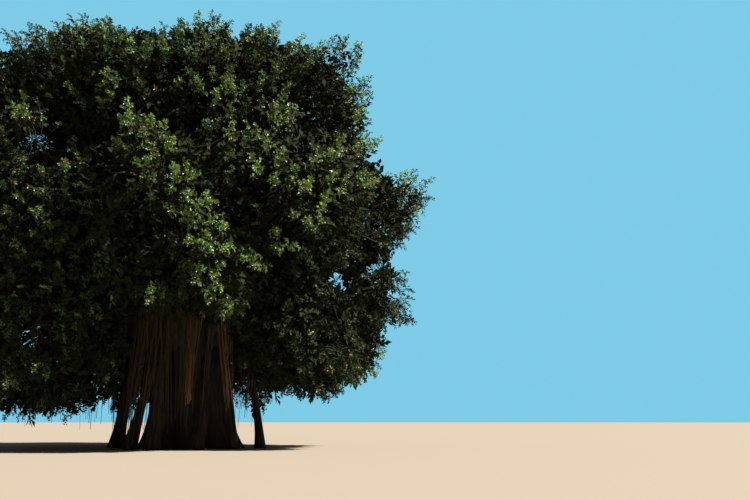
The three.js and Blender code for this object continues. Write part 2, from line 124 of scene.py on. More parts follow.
def turns(count: int) -> Array:
    """The angles of even steps round a circle."""
    return np.arange(count) * math.tau / count


def flat_ring(angle: Array, radius: float | Array) -> Array:
    """Level points at some angles and radii round +Z."""
    return np.stack([np.cos(angle) * radius, np.sin(angle) * radius, np.zeros_like(angle)], axis=-1)


def held_by_any(points: Array, parts: Sequence) -> Array:
    """Whether each point is held by any of some parts, spaces or gaps."""
    return np.any([part.holds(points) for part in parts], axis=0)


def spokes(level: Array, over: Array, angle: Array) -> Array:
    """Directions at some angles round an axis, from its level side towards the one over it."""
    return level * np.cos(angle)[..., None] + over * np.sin(angle)[..., None]


def bow(start: Array, middle: Array, end: Array, t: Array) -> Array:
    """Points on the way from start to end, bent towards a middle point, as t goes from 0 to 1."""
    return (1 - t) ** 2 * start + 2 * t * (1 - t) * middle + t * t * end


def even_directions(count: int, turn: float) -> Array:
    """Directions spread evenly over a sphere.

    Args:
        count: how many directions.
        turn: radians by which the whole set is turned about +Z.

    Returns:
        An array of count unit vectors.
    """
    steps = np.arange(count)
    height = 1 - 2 * (steps + 0.5) / count
    angle = turn + steps * GOLDEN_TURN
    flat = np.sqrt(1 - height**2)
    return np.stack([flat * np.cos(angle), flat * np.sin(angle), height], axis=-1)


def square_pair(axes: Array) -> tuple[Array, Array]:
    """Two directions square to each axis and to each other.

    Args:
        axes: unit vectors.

    Returns:
        The level direction and the one over it, so that axis, level and over are right-handed.
    """
    level = np.cross(np.broadcast_to(UP, axes.shape), axes)
    upright = np.linalg.norm(level, axis=-1, keepdims=True) < 0.05
    level = unit(np.where(upright, np.cross(np.broadcast_to(ACROSS, axes.shape), axes), level))
    return level, np.cross(axes, level)


class SeededSource:
    """The run of numbers from 0 to 1 that the solids' rule also draws from."""

    MASK = 0xFFFFFFFF
    STEP = 0x6D2B79F5

    def __init__(self, seed: int) -> None:
        """Starts the run at a seed."""
        self.state = seed

    def __call__(self) -> float:
        """The next number of the run."""
        self.state = (self.state + self.STEP) & self.MASK
        mixed = ((self.state ^ (self.state >> 15)) * (1 | self.state)) & self.MASK
        mixed = ((mixed + (((mixed ^ (mixed >> 7)) * (61 | mixed)) & self.MASK)) ^ mixed) & self.MASK
        return (mixed ^ (mixed >> 14)) / 2**32


class Route:
    """A smooth path in space, read by the share of its length."""

    step = 0.004  # of the length, to either side of where its heading is read
    bend_samples = 400
    knot_samples = 24  # from each knot to the next

    def __init__(self, points: Array) -> None:
        """Keeps the path's points and the share of length at each."""
        steps = np.linalg.norm(np.diff(points, axis=0), axis=1)
        self.points = points
        self.length = float(steps.sum())
        self.shares = np.concatenate([[0.0], np.cumsum(steps)]) / self.length

    @classmethod
    def bend(cls, start: Array, middle: Array, end: Array) -> "Route":
        """A path from start to end that bends towards a middle point."""
        return cls(bow(start, middle, end, np.linspace(0, 1, cls.bend_samples)[:, None]))

    @classmethod
    def through(cls, knots: Array) -> "Route":
        """A smooth path through every knot, with centripetal spacing.

        Args:
            knots: the points it passes.

        Returns:
            The path.
        """
        padded = np.vstack([2 * knots[0] - knots[1], knots, 2 * knots[-1] - knots[-2]])
        gaps = np.sqrt(np.linalg.norm(np.diff(padded, axis=0), axis=1))
        t = np.linspace(0, 1, cls.knot_samples, endpoint=False)[:, None]
        runs = []
        for i in range(len(knots) - 1):
            p0, p1, p2, p3 = padded[i : i + 4]
            g0, g1, g2 = gaps[i : i + 3]
            slope1 = g1 * ((p1 - p0) / g0 - (p2 - p0) / (g0 + g1) + (p2 - p1) / g1)
            slope2 = g1 * ((p2 - p1) / g1 - (p3 - p1) / (g1 + g2) + (p3 - p2) / g2)
            square = 3 * (p2 - p1) - 2 * slope1 - slope2
            cube = 2 * (p1 - p2) + slope1 + slope2
            runs.append(p1 + slope1 * t + square * t**2 + cube * t**3)
        return cls(np.vstack([*runs, knots[-1:]]))

    def at(self, share: float | Array) -> Array:
        """The point or points at a share of the length."""
        return np.stack([np.interp(share, self.shares, self.points[:, i]) for i in range(3)], axis=-1)

    def heading(self, share: float | Array) -> Array:
        """The direction of the path at a share of its length."""
        ahead, back = np.minimum(1, share + self.step), np.maximum(0, share - self.step)
        return unit(self.at(ahead) - self.at(back))

    def sides(self, share: float | Array) -> tuple[Array, Array]:
        """The directions to the path's level side and over it, which turn smoothly from end to end."""
        chord = self.points[-1] - self.points[0]
        level = np.array([-chord[1], chord[0], 0.0])
        if np.dot(level, level) < LEVEL:
            level = ACROSS
        heading = self.heading(share)
        level = unit(level)
        side = unit(level - heading * along(level, heading))
        return side, np.cross(side, heading)


class Ring(Enum):
    """The rings of foliage masses, from the ground up."""

    LOW = "low"
    MIDDLE = "middle"
    UPPER = "upper"
    TOP = "top"


@dataclass(frozen=True)
class RingPlan:
    """How many masses a ring has and how large they are."""

    ring: Ring
    count: int
    first: float
    reach: float
    bottom: float
    top: float
    thick: float
    wide: float
    inner: float


RINGS = (
    RingPlan(Ring.LOW, 8, 18, 0.96, HEM, 13.4, 4.9, 5.9, 0.68),
    RingPlan(Ring.MIDDLE, 9, 0, 1.0, 7.6, 19.9, 5.2, 5.8, 0.68),
    RingPlan(Ring.UPPER, 7, 0, 0.81, 14.2, 25.9, 5.3, 5.9, 0.75),
    RingPlan(Ring.TOP, 2, 0, 0.57, 17.0, CROWN_TOP, 5.3, 6.2, 1.0),
)


@dataclass
class MassSpace:
    """The space that one mass of foliage keeps to: a full ellipsoid cut by flat borders."""

    name: str
    ring: Ring
    azimuth: float
    inner: float
    outward: Array
    centre: Array
    half: Array
    borders: list[tuple[Array, float]] = field(default_factory=list)

    @property
    def across(self) -> Array:
        """The level direction square to the outward one."""
        return np.cross(UP, self.outward)

    def ellipsoid_reach(self, directions: Array) -> Array:
        """How far the free outline is from the centre in each direction."""
        outward = directions @ self.outward
        thick = self.half[0] * np.where(outward < 0, self.inner, 1.0)
        sideways = directions @ self.across / self.half[1]
        shares = np.stack([outward / thick, sideways, directions[..., 2] / self.half[2]])
        return np.maximum(np.sum(np.abs(shares) ** FULLNESS, axis=0), NO_LENGTH) ** (-1 / FULLNESS)

    def border_reach(self, directions: Array, inset: float = 0.0) -> Array:
        """How far the borders let the mass reach in each direction."""
        reach = np.full(directions.shape[:-1], 1e3)
        for normal, distance in self.borders:
            slope = directions @ normal
            free = (distance - inset) / np.maximum(slope, LEVEL)
            reach = np.where(slope > LEVEL, np.minimum(reach, free), reach)
        return reach

    def reach(self, directions: Array) -> Array:
        """How far the mass reaches in each direction."""
        return np.minimum(self.ellipsoid_reach(directions), self.border_reach(directions))

    def core_reach(self, directions: Array) -> Array:
        """How far the mass's denser core reaches in each direction."""
        turn = math.radians(self.azimuth)
        humps = CORE_HUMP * np.sin(5 * directions[..., 0] + 3 * directions[..., 2] + turn)
        humps = humps * np.cos(4 * directions[..., 1] - turn)
        free = (CORE_SHARE + humps) * self.ellipsoid_reach(directions)
        return np.minimum(free, self.border_reach(directions, CORE_BORDER))

    def holds(self, points: Array) -> Array:
        """Whether each point is inside the space."""
        offset = points - self.centre
        return np.linalg.norm(offset, axis=-1) < self.reach(unit(offset))


@dataclass(frozen=True)
class Crown:
    """The crown's spaces, in the order of the rings."""

    azimuth_stray: float = 5.0
    lift_stray: float = 0.7
    reach_stray: float = 0.07
    size_stray: float = 0.06
    nearness: float = 0.8

    @staticmethod
    def from_opening(azimuth: float) -> float:
        """How far an azimuth is round from the opening, as a share of the opening's half width."""
        return ((azimuth - OPENING_AZIMUTH + 180) % 360 - 180) / OPENING_SPREAD

    def hem_lift(self, azimuth: float) -> float:
        """How much higher the crown's lower edge is over the opening and on the right."""
        share = min(1.0, abs(self.from_opening(azimuth)))
        over_opening = HEM_LIFT * math.cos(math.radians(90 * share)) ** 2
        return over_opening + RIGHT_HEM_LIFT * max(0.0, math.cos(math.radians(azimuth)))

    def beside_opening(self, azimuth: float) -> float:
        """Which side of the opening an azimuth is beside: -1 or 1 at its edges, 0 in it or far off."""
        return math.sin(math.radians(90 * max(-2.0, min(2.0, self.from_opening(azimuth)))))

    def space(self, plan: RingPlan, index: int, draw: SeededSource) -> MassSpace:
        """One mass's space.

        Args:
            plan: the mass's ring.
            index: its place in the ring, from 0.
            draw: the run of numbers that makes no two masses alike.

        Returns:
            The space without its borders.
        """
        first = index == 0 or plan.ring is Ring.TOP

        def stray(amount: float) -> float:
            """A number between minus and plus the amount."""
            return amount * (2 * draw() - 1)

        even = (plan.first + index * 360 / plan.count + (0 if first else stray(self.azimuth_stray))) % 360
        beside = self.beside_opening(even) if plan.ring is Ring.LOW else 0.0
        azimuth = even + OPENING_PUSH * beside
        share = plan.reach - (0 if first else self.reach_stray * draw())
        size = 1 + (0 if first else stray(self.size_stray))
        lift = stray(self.lift_stray) if plan.ring is Ring.MIDDLE else 0.0
        bottom = plan.bottom + (self.hem_lift(azimuth) if plan.ring is Ring.LOW else lift)
        angle = math.radians(azimuth)
        outward = np.array([math.cos(angle), math.sin(angle), 0.0])
        drop = SHOULDER_DROP * abs(outward[1]) + (0 if first else self.lift_stray * draw())
        top = plan.top - (drop if plan.ring is Ring.UPPER else -lift)
        thick = plan.thick * size
        x = CROWN_X + outward[0] * (CROWN_HALF_WIDTH * share - thick)
        y = outward[1] * (REACH_DEPTH * share - thick)
        centre = np.array([x, y, (bottom + top) / 2])
        wide = plan.wide * size * (1 - OPENING_NARROWING * abs(beside))
        half = np.array([thick, wide, (top - bottom) / 2])
        name = f"{plan.ring.value}_{index + 1}"
        return MassSpace(name, plan.ring, azimuth, plan.inner, outward, centre, half)

    def add_borders(self, spaces: Sequence[MassSpace]) -> None:
        """Gives each two masses that are near each other a flat border between them."""
        for i, one in enumerate(spaces):
            for other in spaces[i + 1 :]:
                apart = other.centre - one.centre
                distance = float(np.linalg.norm(apart))
                towards = apart / distance
                near = float(one.ellipsoid_reach(towards))
                far = float(other.ellipsoid_reach(towards))
                if near + far < distance * self.nearness:
                    continue
                border = distance * near / (near + far)
                one.borders.append((towards, border - SPACE_GAP))
                other.borders.append((-towards, distance - border - SPACE_GAP))

    def spaces(self, draw: SeededSource) -> list[MassSpace]:
        """Every mass's space, with its borders."""
        made = [self.space(plan, index, draw) for plan in RINGS for index in range(plan.count)]
        self.add_borders(made)
        return made


@dataclass(frozen=True)
class Canopy:
    """All the spaces together, which tell what of a mass shows."""

    spaces: Sequence[MassSpace]
    middle: Place = (CROWN_X, 0.0, 8.0)
    step: float = 0.45
    cleft_depth: float = 2.4

    def outward(self, points: Array) -> Array:
        """The directions from the crown's middle to some points."""
        return unit(points - np.array(self.middle))

    def holds(self, points: Array) -> Array:
        """Whether each point is inside any mass's space."""
        return held_by_any(points, self.spaces)

    def shows_outside(self, points: Array, directions: Array) -> Array:
        """Whether each surface point faces the open air round the crown, or a cleft that opens to it.

        Args:
            points: points of a mass's surface.
            directions: the directions to them from the mass's centre.

        Returns:
            True for each that shows.
        """
        outward = self.outward(points)
        beside = points + directions * self.step
        cleft = ~self.holds(beside) & ~self.holds(beside + outward * self.cleft_depth)
        return cleft | ~self.holds(points + outward * self.step)


@dataclass(frozen=True)
class Spot:
    """A ball-shaped part of the crown's outer surface, where it is unlike the rest by some amount."""

    centre: Place
    radius: float
    amount: float = 0.0

    def distance(self, points: Array) -> Array:
        """How far each point is from the middle."""
        return np.linalg.norm(points - self.centre, axis=1)

    def holds(self, points: Array) -> Array:
        """Whether each point is in the spot."""
        return self.distance(points) < self.radius


def spots(*rows: tuple[float, ...]) -> tuple[Spot, ...]:
    """Spots from rows of x, y, z and radius, with the amount where there is one."""
    return tuple(Spot(row[:3], *row[3:]) for row in rows)


PHOTO_MIDDLE = (375.0, 250.0)  # in pixels, as the columns and rows below
PHOTO_FOCAL = 1013.0  # the camera's focal length in pixels
SIGHT_DEPTHS = np.arange(40, 85, 0.1)  # along which a line of sight is followed


def sight(column: float, row: float) -> Array:
    """The way from the camera through a place of the photo, one metre deep.

    Args:
        column: pixels from the photo's left edge.
        row: pixels from its top edge.

    Returns:
        The vector, which isn't of unit length.
    """
    tilt = math.radians(Studio.tilt)
    ahead = np.array([0.0, math.cos(tilt), math.sin(tilt)])
    over = np.array([0.0, -math.sin(tilt), math.cos(tilt)])
    right, up = column - PHOTO_MIDDLE[0], PHOTO_MIDDLE[1] - row
    return ahead + ACROSS * right / PHOTO_FOCAL + over * up / PHOTO_FOCAL


@dataclass(frozen=True)
class SeenHump:
    """A hump picked in the photo: the column and row of its middle in pixels, and its radius in metres."""

    column: float
    row: float
    radius: float
    nearer: float = 0.0  # metres by which it stands nearer the viewer than the crown there

    def on(self, canopy: Canopy) -> Spot:
        """The hump's place where its line of sight first meets the crown, to the decimetre."""
        line = np.array(Studio.camera_at) + sight(self.column, self.row) * SIGHT_DEPTHS[:, None]
        met = line[np.argmax(canopy.holds(line))]
        middle = met + unit(line[0] - met) * self.nearer
        return Spot(tuple(np.round(middle, 1)), self.radius)


def seen_humps(*rows: tuple[float, ...]) -> tuple[SeenHump, ...]:
    """Humps from rows of column, row and radius, with how much nearer where that isn't 0."""
    return tuple(SeenHump(*row) for row in rows)


# Humps, where the foliage stands out furthest, on the viewer's side and along the skyline.
FRONT_HUMPS = seen_humps(
    (133, 92, 1.5), (143, 118, 2.1), (158, 146, 2.2), (182, 163, 1.4), (193, 190, 1.8),
    (212, 212, 1.8), (203, 238, 1.4), (231, 250, 1.7), (214, 288, 1.9, 0.2), (238, 312, 1.3, 1.0),
    (150, 300, 1.2, 0.4), (200, 52, 1.9), (228, 74, 1.9), (283, 88, 1.9), (250, 120, 1.7),
    (275, 142, 1.9), (310, 178, 1.8), (322, 203, 1.6), (302, 235, 1.8), (268, 265, 1.8, 0.1),
    (340, 148, 1.8), (352, 175, 1.6), (383, 180, 1.9), (52, 64, 1.4), (107, 60, 1.3), (22, 88, 1.6),
)
SKYLINE_HUMPS = seen_humps(
    (20, 38, 1.3), (40, 33, 1.2), (62, 27, 1.2), (91, 22, 1.5), (108, 27, 1.1), (144, 36, 1.2),
    (170, 33, 1.3), (193, 25, 1.4), (212, 30, 1.3), (238, 38, 1.4), (266, 34, 1.3), (300, 54, 1.2),
    (325, 44, 1.5), (345, 66, 1.3), (360, 97, 1.6), (366, 135, 1.3), (412, 190, 1.7), (398, 240, 1.5),
    (398, 282, 1.5, 0.5), (400, 312, 1.4, -0.1),
)
# Parts that lie back without humps; the amount is how much painted shade darkens their leaves, and an amount
# below zero is painted light that lightens them.
QUIET_PARTS = spots(
    (-10.5, -11.0, 10.0, 8.0, -0.4), (12.5, -4.5, 6.0, 8.8, 1.1), (-9.5, -9.5, 18.5, 5.2, 0.45),
)
# Notches of the hem above the roots, where nothing grows.
BARE_PARTS = spots((0.9, -10.6, 6.3, 1.7), (-1.7, -10.0, 6.4, 1.2))
# Places where the outline stands out by the amount, or lies back where that is below zero.
SWELLS = spots(
    (-2.0, -7.5, 21.8, 4.0, 1.7), (-6.3, -8.0, 21.8, 2.8, 1.8), (-3.7, -8.0, 22.2, 1.8, 0.8),
    (-0.9, -8.0, 22.6, 1.7, 0.6), (3.5, -8.0, 22.6, 1.6, 0.8), (-9.6, -7.0, 21.4, 3.0, 1.1),
    (5.5, -8.0, 22.0, 2.4, 1.5), (7.7, -6.2, 22.2, 1.8, 0.7), (9.0, -5.5, 22.0, 3.2, 2.0),
    (11.2, -4.0, 20.2, 2.2, 0.7), (13.3, -3.0, 15.6, 2.5, 1.9), (13.6, -2.0, 11.8, 2.2, -0.6),
    (12.8, -2.5, 8.0, 2.6, 2.4), (14.6, -2.0, 4.5, 3.7, -4.8), (8.8, -5.0, 3.0, 4.5, 2.1),
    (3.8, -9.4, 6.6, 2.2, 2.0), (-5.6, -8.2, 2.0, 5.0, 2.4),
)


@dataclass(frozen=True)
class SkyGap:
    """A gap right through the crown, where the sky shows from the viewer's place."""

    middle: Place
    radius: float

    def holds(self, points: Array) -> Array:
        """Whether each point lies in the gap."""
        way = unit(np.array(self.middle) - np.array(Studio.camera_at))
        offset = points - np.array(self.middle)
        return np.linalg.norm(offset - np.outer(offset @ way, way), axis=1) < self.radius


SKY_GAPS = (
    SkyGap((8.46, 0.0, 10.18), 0.5),
    SkyGap((10.85, 0.0, 10.95), 0.36),
    SkyGap((-9.51, 0.0, 6.82), 0.85),
    SkyGap((9.26, 0.0, 9.72), 0.36),
    SkyGap((-9.83, 0.0, 19.03), 0.75),
)


class Relief:
    """The humps all over the crown, and how far its surface sinks between them."""

    seed = 77
    count = 150  # humps would cover a whole sphere
    jitter = 0.04
    depth = 2.7  # by which the surface sinks between humps
    quiet_share = 0.5  # of the full depth, by which the crown's quiet parts lie back
    top_loss = 0.45  # the share of the depth that is lost at the crown's top
    top_from, top_run = 18.5, 3.0  # the height where that starts, and how soon it is full
    front = -7.5  # humps nearer the viewer than this are the ones in FRONT_HUMPS alone
    lowest = -0.5  # how steeply down a hump may look
    radii_from, radii_to = 1.7, 2.8
    spacing = 0.72  # of two humps' radii, as the least distance between them

    def __init__(self, canopy: Canopy) -> None:
        """Keeps the humps seen from the front, and spreads others over the rest of the canopy."""
        draw = np.random.default_rng(self.seed)
        kept = [hump.on(canopy) for hump in (*FRONT_HUMPS, *SKYLINE_HUMPS)]
        directions = even_directions(self.count, 0.4)
        directions = unit(directions + draw.normal(size=directions.shape) * self.jitter)
        directions = directions[directions[:, 2] > self.lowest]
        distances = np.linspace(28.0, 2.0, 131)
        for direction in directions:
            line = np.array(canopy.middle) + direction * distances[:, None]
            spot = line[np.argmax(canopy.holds(line))]
            radius = draw.uniform(self.radii_from, self.radii_to)
            clear = all(math.dist(spot, hump.centre) > self.spacing * (radius + hump.radius) for hump in kept)
            if clear and spot[1] > self.front and not held_by_any(spot[None], QUIET_PARTS)[0]:
                kept.append(Spot(tuple(spot), radius))
        self.centres = np.array([hump.centre for hump in kept])
        self.radii = np.array([hump.radius for hump in kept])

    @staticmethod
    def painted_shading(points: Array) -> Array:
        """How much painted shade darkens the leaves at some points of the quiet parts; below zero it is
        painted light.
        """
        return np.sum([part.holds(points) * part.amount for part in QUIET_PARTS], axis=0)

    def sink(self, points: Array, rise: Array) -> Array:
        """How far the surface lies inside the masses' outline at some points of it."""
        share = np.where(held_by_any(points, QUIET_PARTS), self.quiet_share, 1.0)
        high = np.clip((points[:, 2] - self.top_from) / self.top_run, 0, 1)
        share = share * (1 - self.top_loss * high)
        return self.depth * (1 - rise) * share - self.swell(points)

    @staticmethod
    def swell(points: Array) -> Array:
        """How far the swells lift the outline at some points of it."""
        lift = np.zeros(len(points))
        for swell in SWELLS:
            share = swell.distance(points) / swell.radius
            lift += swell.amount * np.clip(1 - share**2, 0, 1)
        return lift

    def at(self, points: Array) -> tuple[Array, Array]:
        """How the surface lies at some points of it.

        Args:
            points: points of the masses' surfaces.

        Returns:
            How far each is up its hump, from 0 between humps to 1 at the middle, and the way from there.
        """
        offset = points[:, None] - self.centres
        share = np.linalg.norm(offset, axis=2) / self.radii
        nearest = np.argmin(share, axis=1)
        each = np.arange(len(points))
        rise = np.sqrt(np.clip(1 - share[each, nearest] ** 2, 0, 1))
        return rise, unit(offset[each, nearest])


@dataclass(frozen=True)
class LimbKind:
    """One kind of limb: its radii at root and tip, and how far it wanders."""

    name: str
    root: float
    tip: float
    wander: float
    swell: float = 0.3

    def radius(self, share: float | Array) -> float | Array:
        """The radius at a share of the limb's length."""
        return mix(self.root, self.tip, share**0.8) * (1 + self.swell * np.exp(-9 * share))


MAIN_BOUGH = LimbKind("bough", 0.9, 0.33, 0.42)
LOW_LIMB = LimbKind("low_limb", 0.35, 0.21, 0.26)
UPPER_LIMB = LimbKind("upper_limb", 0.48, 0.24, 0.38)
LEADER = LimbKind("leader", 0.85, 0.32, 0.45)
BOUGH_RISE = (4.5, 6.1)
BOUGH_SWAY = 1.3
BOUGH_BOW = 1.5
LEADER_RISE = 6.7
LOW_FROM = 0.3
UPPER_FROM = 0.24
LOW_BOW = 0.7
STRAIGHT_STEM = 0.12


@dataclass
class Limb:
    """A bough or limb from its parent to the mass that it feeds."""

    name: str
    kind: LimbKind
    space: MassSpace
    route: Route

    def stem(self) -> Route:
        """The limb's way on from its tip, straight at first, into the middle of its mass."""
        tip = self.route.at(1.0)
        straight = tip + self.route.heading(1.0) * STRAIGHT_STEM
        inner = mix(straight, self.space.centre, 0.6)
        return Route.through(np.array([tip, straight, inner, self.space.centre]))


class Skeleton:
    """The boughs and limbs, one for each mass."""

    knots = 13  # that each route wanders between
    samples = 121  # among which the place is found where it enters its mass
    points = 9  # that the finished route keeps

    def __init__(self, spaces: Sequence[MassSpace], draw: SeededSource) -> None:
        """Grows the boughs, then the limbs that leave them, in the order of the solids."""
        self.draw = draw
        self.boughs = self.of_ring(spaces, Ring.MIDDLE, self.bough)
        self.low = self.of_ring(spaces, Ring.LOW, self.low_limb)
        self.upper = self.of_ring(spaces, Ring.UPPER, self.upper_limb)
        self.leaders = self.of_ring(spaces, Ring.TOP, self.leader)

    @property
    def limbs(self) -> list[Limb]:
        """Every limb."""
        return [*self.boughs, *self.low, *self.upper, *self.leaders]

    @staticmethod
    def of_ring(
        spaces: Sequence[MassSpace], ring: Ring, grow: Callable[[int, MassSpace], Limb]
    ) -> list[Limb]:
        """The limbs that a rule grows for the masses of one ring."""
        chosen = [space for space in spaces if space.ring is ring]
        return [grow(index, space) for index, space in enumerate(chosen)]

    def limb(self, kind: LimbKind, index: int, space: MassSpace, start: Array, middle: Array) -> Limb:
        """A limb that wanders along its route and stops where it enters its mass.

        Args:
            kind: its radii and wandering.
            index: its number within its kind, from 0.
            space: the mass it feeds.
            start: where it starts.
            middle: the point that pulls its route, which ends in the mass's centre.

        Returns:
            The limb.
        """
        route = Route.bend(start, middle, space.centre)
        turn = self.draw() * math.tau
        share = np.linspace(0, 1, self.knots)
        side, over = route.sides(share)
        swing = (kind.wander * np.sin(math.tau * share))[:, None]
        swung = side * swing * math.cos(turn) + over * swing * math.sin(turn)
        samples = Route.through(route.at(share) + swung).at(np.linspace(0, 1, self.samples))
        offset = samples - space.centre
        entered = np.linalg.norm(offset, axis=1) < space.core_reach(unit(offset)) + TIP_STOPS_SHORT
        end = int(np.argmax(entered))
        picks = np.floor(np.arange(self.points) * end / (self.points - 1) + 0.5).astype(int)
        return Limb(f"{kind.name}_{index + 1}", kind, space, Route.through(samples[picks]))

    def bough(self, index: int, space: MassSpace) -> Limb:
        """A main bough, from inside the trunk to a mass of the middle ring."""
        start = np.array([0.0, 0.0, BOUGH_RISE[index % 2]])
        sway = space.across * (-BOUGH_SWAY if index % 2 else BOUGH_SWAY)
        middle = mix(start, space.centre, 0.45) + sway + UP * BOUGH_BOW
        return self.limb(MAIN_BOUGH, index, space, start, middle)

    def nearest(self, space: MassSpace) -> Limb:
        """The main bough whose mass lies nearest in plan."""
        return min(self.boughs, key=lambda b: math.dist(b.space.centre[:2], space.centre[:2]))

    def low_limb(self, index: int, space: MassSpace) -> Limb:
        """A limb that leaves a bough for a mass of the low ring."""
        start = self.nearest(space).route.at(LOW_FROM)
        middle = mix(start, space.centre, 0.55) + UP * LOW_BOW
        return self.limb(LOW_LIMB, index, space, start, middle)

    def upper_limb(self, index: int, space: MassSpace) -> Limb:
        """A limb that leaves a bough for a mass of the upper ring."""
        start = self.nearest(space).route.at(UPPER_FROM)
        middle = mix(start, space.centre, np.array([0.35, 0.35, 0.62]))
        return self.limb(UPPER_LIMB, index, space, start, middle)

    def leader(self, index: int, space: MassSpace) -> Limb:
        """A leader, from the trunk's fork to a mass at the top."""
        start = np.array([space.outward[0] * 0.5, 0.0, LEADER_RISE])
        middle = mix(start, space.centre, np.array([0.7, 0.0, 0.5]))
        middle[1] = 0.0
        return self.limb(LEADER, index, space, start, middle)


class Shell:
    """Vertices and faces that are gathered into one mesh."""

    grain_step = 3.7  # sets the grain of neighbouring tubes apart

    def __init__(self) -> None:
        """Starts empty."""
        self.points: list[Array] = []
        self.grain: list[Array] = []
        self.quads: list[Array] = []
        self.triangles: list[Array] = []
        self.count = 0

    def add(self, points: Array, quads: Array, triangles: Array, grain: Array) -> None:
        """Adds faces whose corners count from 0 within these points."""
        self.points.append(points.reshape(-1, 3))
        self.grain.append(grain.reshape(-1, 3))
        self.quads.append(quads.reshape(-1, 4) + self.count)
        self.triangles.append(triangles.reshape(-1, 3) + self.count)
        self.count += self.points[-1].shape[0]

    def add_tubes(self, paths: Array, radii: Array, sides: int, relief: Array | None = None) -> None:
        """Adds closed tubes along paths of equal point count.

        Args:
            paths: one row of points for each tube.
            radii: the radius at each of those points.
            sides: how many sides each tube has.
            relief: a factor on the radius at each point and side, or None.
        """
        count, steps, _ = paths.shape
        tangents = unit(np.gradient(paths, axis=1))
        level, _ = square_pair(unit(paths[:, -1] - paths[:, 0]))
        level = level[:, None, :]
        side = unit(level - tangents * along(level, tangents))
        over = np.cross(tangents, side)
        angles = turns(sides)
        width = radii[:, :, None, None] * (1.0 if relief is None else relief[..., None])
        points = paths[:, :, None, :] + spokes(side[:, :, None, :], over[:, :, None, :], angles) * width
        lengths = np.linalg.norm(np.diff(paths, axis=1), axis=2)
        grain = np.empty(points.shape)
        grain[..., 0] = radii[:, :, None] * np.cos(angles) + np.arange(count)[:, None, None] * self.grain_step
        grain[..., 1] = radii[:, :, None] * np.sin(angles)
        grain[..., 2] = np.pad(np.cumsum(lengths, axis=1), ((0, 0), (1, 0)))[:, :, None]
        index = np.arange(count * steps * sides).reshape(count, steps, sides)
        fan = np.arange(1, sides - 1)
        hub = np.zeros_like(fan)
        first, last = index[:, 0], index[:, -1]
        start = np.stack([first[:, hub], first[:, fan + 1], first[:, fan]], axis=-1)
        end = np.stack([last[:, hub], last[:, fan], last[:, fan + 1]], axis=-1)
        caps = np.concatenate([start.reshape(-1, 3), end.reshape(-1, 3)])
        self.add(points, wall_quads(index), caps, grain)

    def mesh(self, name: str, bark: Material) -> Mesh:
        """The gathered faces as a smooth mesh with a grain attribute that follows each tube.

        Args:
            name: the mesh's name.
            bark: its material.

        Returns:
            The mesh.
        """
        parts = (self.points, self.quads, self.triangles)
        mesh = mesh_of(name, *map(np.concatenate, parts), True)
        give(mesh, "grain", "FLOAT_VECTOR", np.concatenate(self.grain))
        mesh.materials.append(bark)
        return mesh


def mesh_of(name: str, points: Array, quads: Array, triangles: Array, smooth: bool) -> Mesh:
    """A mesh from arrays.

    Args:
        name: the mesh's name.
        points: its vertices.
        quads: corners of its four-sided faces.
        triangles: corners of its triangles.
        smooth: whether faces are shaded smoothly.

    Returns:
        The mesh.
    """
    mesh = bpy.data.meshes.new(name)
    corners = np.concatenate([quads.ravel(), triangles.ravel()]).astype(np.int32)
    sizes = np.concatenate([np.full(len(quads), 4), np.full(len(triangles), 3)]).astype(np.int32)
    mesh.vertices.add(len(points))
    mesh.vertices.foreach_set("co", points.astype(np.float32).ravel())
    mesh.loops.add(len(corners))
    mesh.loops.foreach_set("vertex_index", corners)
    mesh.polygons.add(len(sizes))
    starts = np.concatenate([[0], np.cumsum(sizes)[:-1]]).astype(np.int32)
    mesh.polygons.foreach_set("loop_start", starts)
    mesh.polygons.foreach_set("use_smooth", np.full(len(sizes), smooth))
    mesh.update(calc_edges=True)
    mesh.validate()
    return mesh


def give(mesh: Mesh, name: str, kind: str, values: Array) -> None:
    """Gives a mesh's points an attribute.

    Args:
        mesh: the mesh.
        name: the attribute's name.
        kind: its data type.
        values: its value at each point.
    """
    held = mesh.attributes.new(name, kind, "POINT").data
    exact = values.astype(np.int32 if kind == "INT" else np.float32)
    held.foreach_set("vector" if kind == "FLOAT_VECTOR" else "value", exact.ravel())


def new_object(name: str, data: ID) -> Object:
    """A new object of the scene that holds some data."""
    made = bpy.data.objects.new(name, data)
    bpy.context.scene.collection.objects.link(made)
    return made


def wall_quads(index: Array) -> Array:
    """The four-sided faces between rings of points, whose numbers are in the index's last two axes."""
    turned = np.roll(index, -1, axis=-1)
    low, high = slice(None, -1), slice(1, None)
    corners = [index[..., low, :], turned[..., low, :], turned[..., high, :], index[..., high, :]]
    return np.stack(corners, axis=-1)


